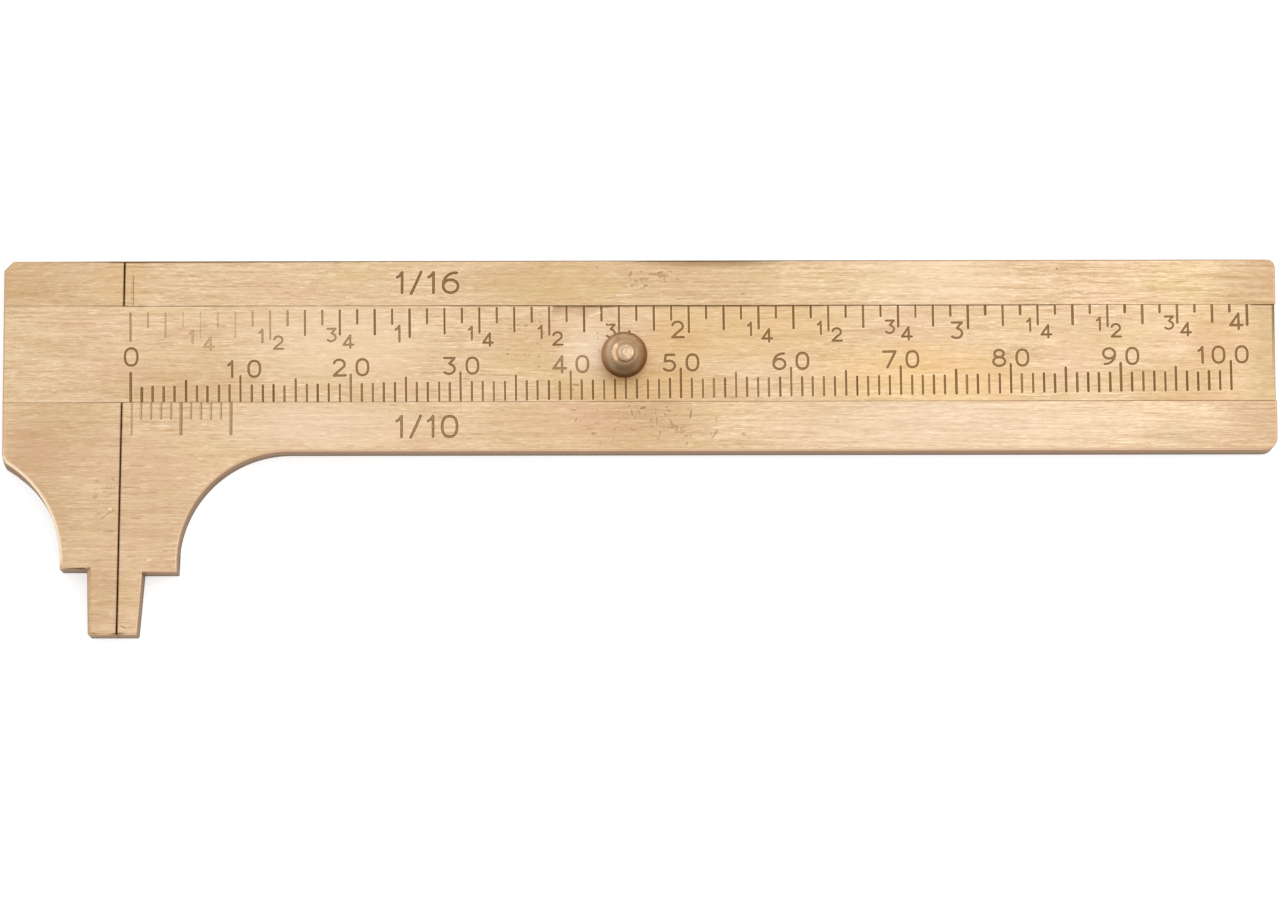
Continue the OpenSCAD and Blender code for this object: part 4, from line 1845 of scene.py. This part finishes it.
    def lower_strokes(self) -> list[Stroke]:
        """The vernier, the tenths' label and the bruises on the lower rail."""
        bruise = Bruises(np.random.default_rng(SEED + 2))
        label = self.label("1/10", -self.sizes.half_channel - self.LOWER_LABEL_DROP, 0.68)
        return [*self.vernier(), *label,
                *bruise.cluster(26, (40.5, -8.2), (54, -4.9), (0.12, 0.45), 0.2, 0.6),
                *bruise.cluster(9, (48.3, -7.4), (50.2, -6.3), (0.12, 0.5), 0.3, 0.7),
                *bruise.cluster(14, (39, -8.3), (57, -4.8), (0.06, 0.15), 0.32, 0.3),
                *bruise.marks(self.LOWER_DINGS)]

    def pieces(self) -> list[Piece]:
        """Builds the plate and the two rails."""
        s = self.sizes
        plate = EngravedSlab(self.plate_plan().soldered(), s.plate, 0.0, [], s.PLATE_FOOT)
        upper = EngravedSlab(self.upper_plan(), s.face, s.plate, self.upper_strokes(), s.RAIL_FOOT)
        lower = EngravedSlab(self.lower_plan(), s.face, s.plate, self.lower_strokes(), s.RAIL_FOOT)
        return [
            Piece(plate.build("beam_back"), Body.BEAM, Slot.PLATE, "beam_plate"),
            Piece(upper.build("beam_upper_rail"), Body.BEAM, Slot.FACE, "upper_rail"),
            Piece(lower.build("beam_lower_rail"), Body.BEAM, Slot.FACE, "lower_rail"),
        ]


@dataclass
class Head:
    """The sliding head: back plate, upper block and moving jaw.

    Attributes:
        sizes: The caliper's sizes.
        jaw: Plan of the moving jaw.
        chamfer: Chamfer on the upper left corner.
    """

    sizes: Sizes
    # The hollow curve's edge is rubbed at 1.8, above 1, which paints a bright highlight along it.
    jaw: JawForm = JawForm(10.7, 2.8, 0.2, 0.4, -Sizes.FACE_SLOPE, curve_edge=(0.06, 1.8),
                           filed=0.3, worn=0.33, nib_wear=0.0)
    chamfer: float = 0.85

    CHANNEL = 0.015
    DINGS = (
        ((-2.45, -12.3), (-1.3, -12.25), 0.12, 0.34),
        ((-1.75, -14.15), (-1.6, -14.2), 0.22, -0.8),
        ((-2.5, -15.05), (-1.7, -14.45), 0.14, 0.26),
        ((-2.3, -16.2), (-1.35, -16.2), 0.12, 0.34),
        ((-1.6, -11.3), (-1.4, -11.6), 0.12, 0.2),
    )

    def length(self) -> float:
        """Length of the head."""
        return self.sizes.moving_face - self.sizes.left

    def plate_plan(self) -> Outline:
        """The whole head's plan."""
        s = self.sizes
        plan = self.jaw.below(s, self.length())
        plan.to(self.length(), s.top - self.chamfer, self.jaw.OUTER)
        plan.to(self.length() - self.chamfer, s.top, self.jaw.OUTER)
        plan.to(self.jaw.face(s.top), s.top, self.jaw.JAW_FACE)
        return plan.mirrored(s.moving_face)

    def jaw_plan(self) -> Outline:
        """The moving jaw's plan, up to the channel."""
        s = self.sizes
        plan = self.jaw.below(s, self.length(), self.jaw.filed)
        plan.to(self.length(), plan.points[-1][1] + self.jaw.PAST_CORNER, self.jaw.OUTER)
        plan.to(self.length(), -s.half_channel, self.CHANNEL, 0.12, (0.0, -s.flank()))
        plan.to(self.jaw.face(-s.half_channel), -s.half_channel, self.jaw.JAW_FACE, JawForm.DIRT,
                self.jaw.flank(s, -1))
        return plan.mirrored(s.moving_face)

    def block_plan(self) -> Outline:
        """The upper block's plan."""
        s = self.sizes
        plan = Outline()
        plan.to(self.jaw.face(s.half_channel), s.half_channel, self.CHANNEL, 0.12,
                self.jaw.flank(s, 1))
        plan.to(self.length(), s.half_channel, self.jaw.OUTER, 1.0, (0.0, s.flank()))
        plan.to(self.length(), s.top - self.chamfer, self.jaw.OUTER)
        plan.to(self.length() - self.chamfer, s.top, self.jaw.OUTER)
        plan.to(self.jaw.face(s.top), s.top, self.jaw.JAW_FACE, JawForm.DIRT)
        return plan.mirrored(s.moving_face)

    def bruises(self) -> list[Stroke]:
        """Dents beside the jaw face, from things held too hard."""
        bruise = Bruises(np.random.default_rng(SEED + 5))
        return [*bruise.marks(self.DINGS),
                *bruise.cluster(9, (-3.2, -16.5), (-1.5, -11.5), (0.1, 0.3), 0.16, 0.3)]

    def pieces(self) -> list[Piece]:
        """Builds the plate, the block and the jaw."""
        s = self.sizes
        plate = EngravedSlab(self.plate_plan().soldered(), s.plate, 0.0, [], s.PLATE_FOOT)
        block = EngravedSlab(self.block_plan(), s.face, s.plate, [], s.RAIL_FOOT)
        jaw = EngravedSlab(self.jaw_plan(), s.face, s.plate, self.bruises(), s.RAIL_FOOT)
        return [
            Piece(plate.build("head_back"), Body.SLIDE, Slot.PLATE, "head_plate"),
            Piece(block.build("head_upper_block"), Body.SLIDE, Slot.FACE, "head_block"),
            Piece(jaw.build("head_moving_jaw"), Body.SLIDE, Slot.FACE, "moving_jaw"),
        ]


@dataclass
class Strip:
    """The scale strip, let into the head and sliding in the beam's channel.

    Attributes:
        sizes: The caliper's sizes.
        rivet: Where the knob's rivet goes through.
        bore_r: Radius of the rivet's hole.
        sink: How much wider the hole is at the foot.
        end_round: Radius along the free end.
        scales: What is engraved on it.
    """

    sizes: Sizes
    rivet: Point
    bore_r: float = 0.72
    sink: float = 0.5
    end_round: float = 0.22
    scales: Scales = field(default_factory=Scales)

    SIDE = 0.015
    SEAM = (0.015, 0.03)
    # Along the upper seam: the clearance, and the edge's finish, below 0 a dark band of grime and
    # painted shade.
    UPPER_SEAM = ((102, 0.012, 0.1), (96, 0.012, 0), (84, 0.03, -0.35), (63, 0.03, -0.7),
                  (43.5, 0.03, -1.3), (38.5, 0.03, -0.35), (30, 0.03, -0.1), (26, 0.015, -0.1),
                  (10, 0.015, -0.1), (7, 0.03, -0.1))
    FOOT = 0.02
    DINGS = (
        ((40.3, -2.86), (40.7, -2.9), 0.2, 0.5),
        ((40.05, -3.35), (40.3, -3.3), 0.14, 0.4),
        ((41.8, 3.45), (42.8, 3.75), 0.14, -0.8),
    )

    def plan(self) -> Outline:
        """The strip's plan, a hair wider where it is let into the head."""
        s = self.sizes
        wide, clear = s.half_channel, Sizes.FLOOR_CLEAR
        low, high = wide - self.SEAM[0], wide - self.SEAM[1]
        lean_wide = (0.0, s.flank())
        lean_slim = (0.0, s.flank() - clear * Sizes.FLANK_SLOPE - Sizes.STRIP_CLEAR)
        end = s.moving_face - (s.half_channel + s.flank()) * Sizes.FACE_SLOPE
        plan = Outline()
        plan.to(s.left, -wide, self.SIDE, 0.12, (0.0, -lean_wide[1]))
        plan.to(end, -wide, self.SIDE, 0.12, (0.0, -lean_wide[1]))
        plan.to(end, -low, self.SIDE, 0.12, (0.0, -lean_slim[1]), clear)
        plan.to(s.strip_right, -low, self.end_round, 1.0, (0.0, -lean_slim[1]), clear)
        # The upper seam starts here, in a dark band of grime and painted shade.
        plan.to(s.strip_right, high, self.SIDE, -0.5, lean_slim, clear)
        for x, gap, dirt in self.UPPER_SEAM:
            plan.to(x, wide - gap, self.SIDE, dirt, lean_slim, clear)
        plan.to(end, high, self.SIDE, 0.12, lean_slim, clear)
        plan.to(end, wide, self.SIDE, 0.12, lean_wide)
        plan.to(s.left, wide, JawForm.OUTER, 1.0, lean_wide)
        return plan

    def bruises(self) -> list[Stroke]:
        """Nicks beside the 40 line and along the strip."""
        bruise = Bruises(np.random.default_rng(SEED + 3))
        return [*bruise.cluster(9, (35, 0.2), (39, 3.4), (0.1, 0.3), 0.22, 0.4),
                *bruise.marks(self.DINGS),
                *bruise.cluster(12, (33, -2.2), (37.5, 3.6), (0.05, 0.16), 0.3, 0.3),
                *bruise.cluster(8, (41, -2.4), (44.5, 3.9), (0.04, 0.12), 0.24, 0.3)]

    def pieces(self) -> list[Piece]:
        """Builds the strip."""
        s = self.sizes
        hole = (self.rivet, self.bore_r, self.bore_r + self.sink)
        strokes = [*self.scales.strokes(), *self.bruises()]
        slab = EngravedSlab(self.plan(), s.face, s.plate, strokes, self.FOOT, hole)
        return [Piece(slab.build("scale_bar"), Body.SLIDE, Slot.STRIP, "scale_strip")]


@dataclass
class Knob:
    """The ball knob and the rivet that holds it, whose head is hammered over its crown.

    Attributes:
        sizes: The caliper's sizes.
        centre: Place of its axis in the plan.
        wide_r: Radius of the ball.
        top: Height of the rivet's head.
        foot_r: Radius of its foot.
        foot_h: Height of its foot.
        crown_r: Radius of the flat on the crown.
        head_r: Radius of the rivet's head.
        head_h: Height of the rivet's head over the crown.
        shank_r: Radius of the rivet's shank.
        sink: How much wider the rivet is at its countersunk end.
    """

    sizes: Sizes
    centre: Point
    wide_r: float
    top: float
    foot_r: float = 1.4
    foot_h: float = 0.35
    crown_r: float = 1.15
    head_r: float = 0.925
    head_h: float = 0.3
    shank_r: float = 0.7
    sink: float = 0.5

    CLEAR = 0.02
    WELL = 0.12
    PIN_R = 0.8
    PIN_SHIFT = (0.12, 0.0)
    PIN_SLOPES = (0.08, 0.1)
    NECK = 0.15
    BEVEL = 0.04
    CROWN_EDGE = (0.015, 0.012)
    SIDE_POINTS = 33
    HEAD_POINTS = 15
    DOME = (0.18, 2.6)
    RING = (0.035, 0.56, 0.07)
    DIMPLE = (0.05, 0.2)
    HAMMER_MARKS = 9
    MARK_REACH = 0.75
    MARK_WIDTH = (0.16, 0.34)
    MARK_DEPTH = (0.015, 0.04)
    FILLED = 0.75
    FILLED_FROM = 0.65
    FILLED_OVER = 0.3

    @classmethod
    def from_frame(cls, sizes: Sizes) -> "Knob":
        """Reads the knob's place and outer sizes off the frame's solids."""
        low, high = box_mm("thumb_knob")
        _, rivet_high = box_mm("knob_rivet")
        x, y, _ = (low + high) / 2
        return cls(sizes, centre=(x, y), wide_r=(high[0] - low[0]) / 2, top=rivet_high[2])

    def crown(self) -> float:
        """Height of the crown."""
        return self.top - self.head_h

    def turns(self) -> Triple:
        """The ball's arc: its lowest and highest angle and its half height."""
        low = math.acos(self.foot_r / self.wide_r)
        high = math.acos(self.crown_r / self.wide_r)
        tall = self.crown() - self.sizes.face - self.foot_h
        return low, high, tall / (math.sin(low) + math.sin(high))

    def waist(self) -> float:
        """Height of the ball's widest place."""
        low, _, half = self.turns()
        return self.sizes.face + self.foot_h + half * math.sin(low)

    def ball_profile(self) -> np.ndarray:
        """Radius and height down the ball's side, an elliptical arc about the axis.

        Returns:
            The closed profile, from the bore's top round the ball and back up the bore.
        """
        face, crown = self.sizes.face, self.crown()
        low_turn, high_turn, half = self.turns()
        a = np.linspace(high_turn, -low_turn, self.SIDE_POINTS)
        side = np.stack([self.wide_r * np.cos(a), self.waist() + half * np.sin(a)], axis=1)
        bore = self.shank_r + self.CLEAR
        inward, down = self.CROWN_EDGE
        crown_lines = [[bore, crown - self.WELL], [self.crown_r - self.BEVEL, crown],
                       [self.crown_r - inward, crown - down]]
        foot_lines = [[self.foot_r, face + self.BEVEL], [self.foot_r - self.BEVEL, face],
                      [bore, face]]
        return np.concatenate([crown_lines, side, foot_lines])

    def rivet_profile(self) -> np.ndarray:
        """Radius and height down the rivet, from its dimpled head to its countersunk foot.

        Returns:
            The profile, which starts and ends on the axis.
        """
        crown = self.crown()
        share = np.linspace(0, 1, self.HEAD_POINTS)
        rim, power = self.DOME
        dome = rim + (1 - rim) * np.sqrt(np.clip(1 - share ** power, 0, 1))
        ring_depth, ring_at, ring_width = self.RING
        dimple_depth, dimple_width = self.DIMPLE
        dents = ring_depth * np.exp(-((share - ring_at) / ring_width) ** 2)
        dents += dimple_depth * np.exp(-(share / dimple_width) ** 2)
        head = np.stack([self.PIN_R * share, crown + self.head_h * dome - dents], axis=1)
        foot = self.sizes.plate + Sizes.FLOOR_CLEAR
        well = crown - self.WELL
        shank = [[self.PIN_R, well], [self.shank_r, well], [self.shank_r, foot + self.sink],
                 [self.shank_r + self.sink, foot], [0.0, foot]]
        return np.concatenate([head, shank])

    def hammered(self, points: np.ndarray) -> np.ndarray:
        """Dents the rivet's head by a few soft hammer marks, and sets it a little off centre.

        Args:
            points: Points of the rivet.

        Returns:
            The dented points.
        """
        chance = np.random.default_rng(SEED + 4)
        above = np.clip((points[:, 2] - self.crown()) / self.head_h, 0, 1)
        dented = points.copy()
        dented[:, :2] += np.clip(above / self.NECK, 0, 1)[:, None] * np.array(self.PIN_SHIFT)
        beside = dented[:, 0] - self.centre[0]
        left, right = self.PIN_SLOPES
        dented[:, 2] -= above * (left * (-beside).clip(0) + right * beside.clip(0))
        for _ in range(self.HAMMER_MARKS):
            spot = chance.uniform(-self.MARK_REACH, self.MARK_REACH, 2) * self.head_r
            wide = chance.uniform(*self.MARK_WIDTH)
            gap = np.linalg.norm(points[:, :2] - spot - np.array(self.centre), axis=1)
            dented[:, 2] -= chance.uniform(*self.MARK_DEPTH) * above * np.exp(-(gap / wide) ** 2)
        return dented

    def peened(self, points: np.ndarray) -> np.ndarray:
        """Lifts the countersink's left side, where the rivet's head was beaten flush with it.

        Args:
            points: Points of the ball.

        Returns:
            The points, those inside the crown's edge lifted by a share of the well's depth there.
        """
        away = points[:, :2] - np.array(self.centre)
        reach = np.hypot(away[:, 0], away[:, 1])
        within = np.clip(self.crown_r - reach, 0, self.crown_r) / (self.crown_r - self.shank_r)
        left = np.clip(-(away[:, 0] / reach + self.FILLED_FROM) / self.FILLED_OVER, 0, 1)
        on_top = points[:, 2] > self.waist()
        lifted = points.copy()
        lifted[:, 2] += on_top * left * self.FILLED * self.WELL * np.minimum(within, 1)
        return lifted

    def pieces(self) -> list[Piece]:
        """Builds the ball and the rivet."""
        ball = Turning(self.ball_profile(), self.centre, closed=True)
        rivet = Turning(self.rivet_profile(), self.centre)
        return [
            Piece(ball.build("knob_ball", self.peened), Body.SLIDE, Slot.KNOB, "thumb_knob"),
            Piece(rivet.build("knob_rivet_pin", self.hammered), Body.SLIDE, Slot.RIVET,
                  "knob_rivet"),
        ]


@dataclass
class Studio:
    """Floor, soft light, white surroundings and the camera.

    Attributes:
        sight: Point that the camera looks at, in millimetres.
        distance: From that point to the camera, in millimetres.
        elevation: Height of the camera above the horizon, in degrees.
        roll: How far the picture is turned, in degrees.
        focal_px: Focal length in pixels of the photograph.
        world: Strength of the surroundings.
    """

    sight: Triple = (46.31, -8.87, 3.5)
    distance: float = 508.0
    elevation: float = 82.35
    roll: float = 0.1
    focal_px: float = 5600.0
    world: float = 0.62

    FLOOR_GAP = 0.02
    FLOOR_SIDE = 3000.0
    SENSOR = 36.0
    NEAREST = 0.01
    LAMPS = (("ceiling", (0.12, 0.08, 0.9), 1.0, 1.5), ("key", (0.45, 0.08, 0.62), 0.25, 0.6))

    def floor(self) -> None:
        """A wide white sheet, a hair below the back face."""
        side, z = self.FLOOR_SIDE, -self.FLOOR_GAP
        sheet = np.array([[-side, -side, z], [side, -side, z], [side, side, z], [-side, side, z]])
        obj = mesh_object("floor", sheet, [[0, 1, 2, 3]], 0.5)
        obj.data.materials.append(PaperFloor().material())

    def surroundings(self) -> None:
        """A white world: full white to the camera, and at a plain level to the rest."""
        world = bpy.data.worlds.new("surroundings")
        bpy.context.scene.world = world
        tree = Tree(world)
        sight = tree.node("ShaderNodeLightPath")
        strength = self.world + tree.out(sight, "Is Camera Ray") * (1 - self.world)
        sky = tree.node("ShaderNodeBackground", {}, {"Color": WHITE, "Strength": strength})
        tree.node("ShaderNodeOutputWorld", {}, {"Surface": sky.outputs[0]})

    def lamp(self, name: str, place: Triple, size: float, power: float) -> None:
        """A square soft lamp that faces the middle of the caliper.

        Args:
            name: Its name.
            place: Where it stands, in metres.
            size: Length of its side, in metres.
            power: Its power in watts.
        """
        data = bpy.data.lights.new(name, "AREA")
        data.shape = "SQUARE"
        data.size = size
        data.energy = power
        obj = bpy.data.objects.new(name, data)
        bpy.context.scene.collection.objects.link(obj)
        obj.location = place
        target = Vector(self.sight) * MM
        obj.rotation_euler = (target - Vector(place)).to_track_quat("-Z", "Y").to_euler()

    def camera(self) -> None:
        """The camera at the photograph's angle, with its whole frame."""
        data = bpy.data.cameras.new("camera")
        data.sensor_fit = "HORIZONTAL"
        data.sensor_width = self.SENSOR
        data.lens = self.focal_px / PHOTO_WIDTH * self.SENSOR
        data.clip_start = self.NEAREST
        obj = bpy.data.objects.new("camera", data)
        bpy.context.scene.collection.objects.link(obj)
        a = math.radians(self.elevation)
        target = Vector(self.sight) * MM
        obj.location = target + Vector((0, -math.cos(a), math.sin(a))) * self.distance * MM
        level = (target - obj.location).to_track_quat("-Z", "Y")
        turned = level @ Quaternion((0, 0, 1), -math.radians(self.roll))
        obj.rotation_euler = turned.to_euler()
        bpy.context.scene.camera = obj

    def build(self) -> None:
        """Sets everything up."""
        self.camera()
        self.floor()
        self.surroundings()
        for lamp in self.LAMPS:
            self.lamp(*lamp)
        bpy.context.scene.view_settings.view_transform = "Standard"


def corners(pair: tuple[Vector, Vector]) -> list[list[float]]:
    """Two corners as plain lists."""
    return [list(corner) for corner in pair]


def main() -> None:
    """Builds the studio and every sub-assembly."""
    logging.basicConfig(level=logging.INFO, format="%(message)s")
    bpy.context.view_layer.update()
    Studio().build()
    sizes = Sizes.from_frame()
    knob = Knob.from_frame(sizes)
    finishes = {
        Slot.FACE: BrushedBrass("brushed_face_brass", stronger=0.5, patches=FACE_PATCHES),
        Slot.PLATE: BrushedBrass("brushed_plate_brass", (226, 196, 156), (184, 146, 102),
                                 shift=31.0),
        Slot.STRIP: BrushedBrass("brushed_strip_brass", shift=17.0, dull_from=100.8,
                                 patches=STRIP_PATCHES),
        Slot.KNOB: AgedBrass("aged_knob_brass", knob.centre, knob.wide_r, waist=knob.waist(),
                             crown=knob.crown()),
        # The rivet's colours: light, dark, painted shading of its right side, painted shade towards
        # the jaws, and the worn crown with painted light on its left and underside.
        Slot.RIVET: AgedBrass("hammered_rivet_brass", knob.centre, knob.head_r, (244, 212, 176),
                              (200, 168, 134), (230, 198, 162), (206, 174, 138), (252, 220, 184),
                              roughness=0.34),
    }
    materials = {slot: finish.material() for slot, finish in finishes.items()}
    for assembly in (Beam(sizes), Head(sizes), Strip(sizes, knob.centre), knob):
        for piece in assembly.pieces():
            piece.settle(materials[piece.slot])


if __name__ == "__main__":
    main()
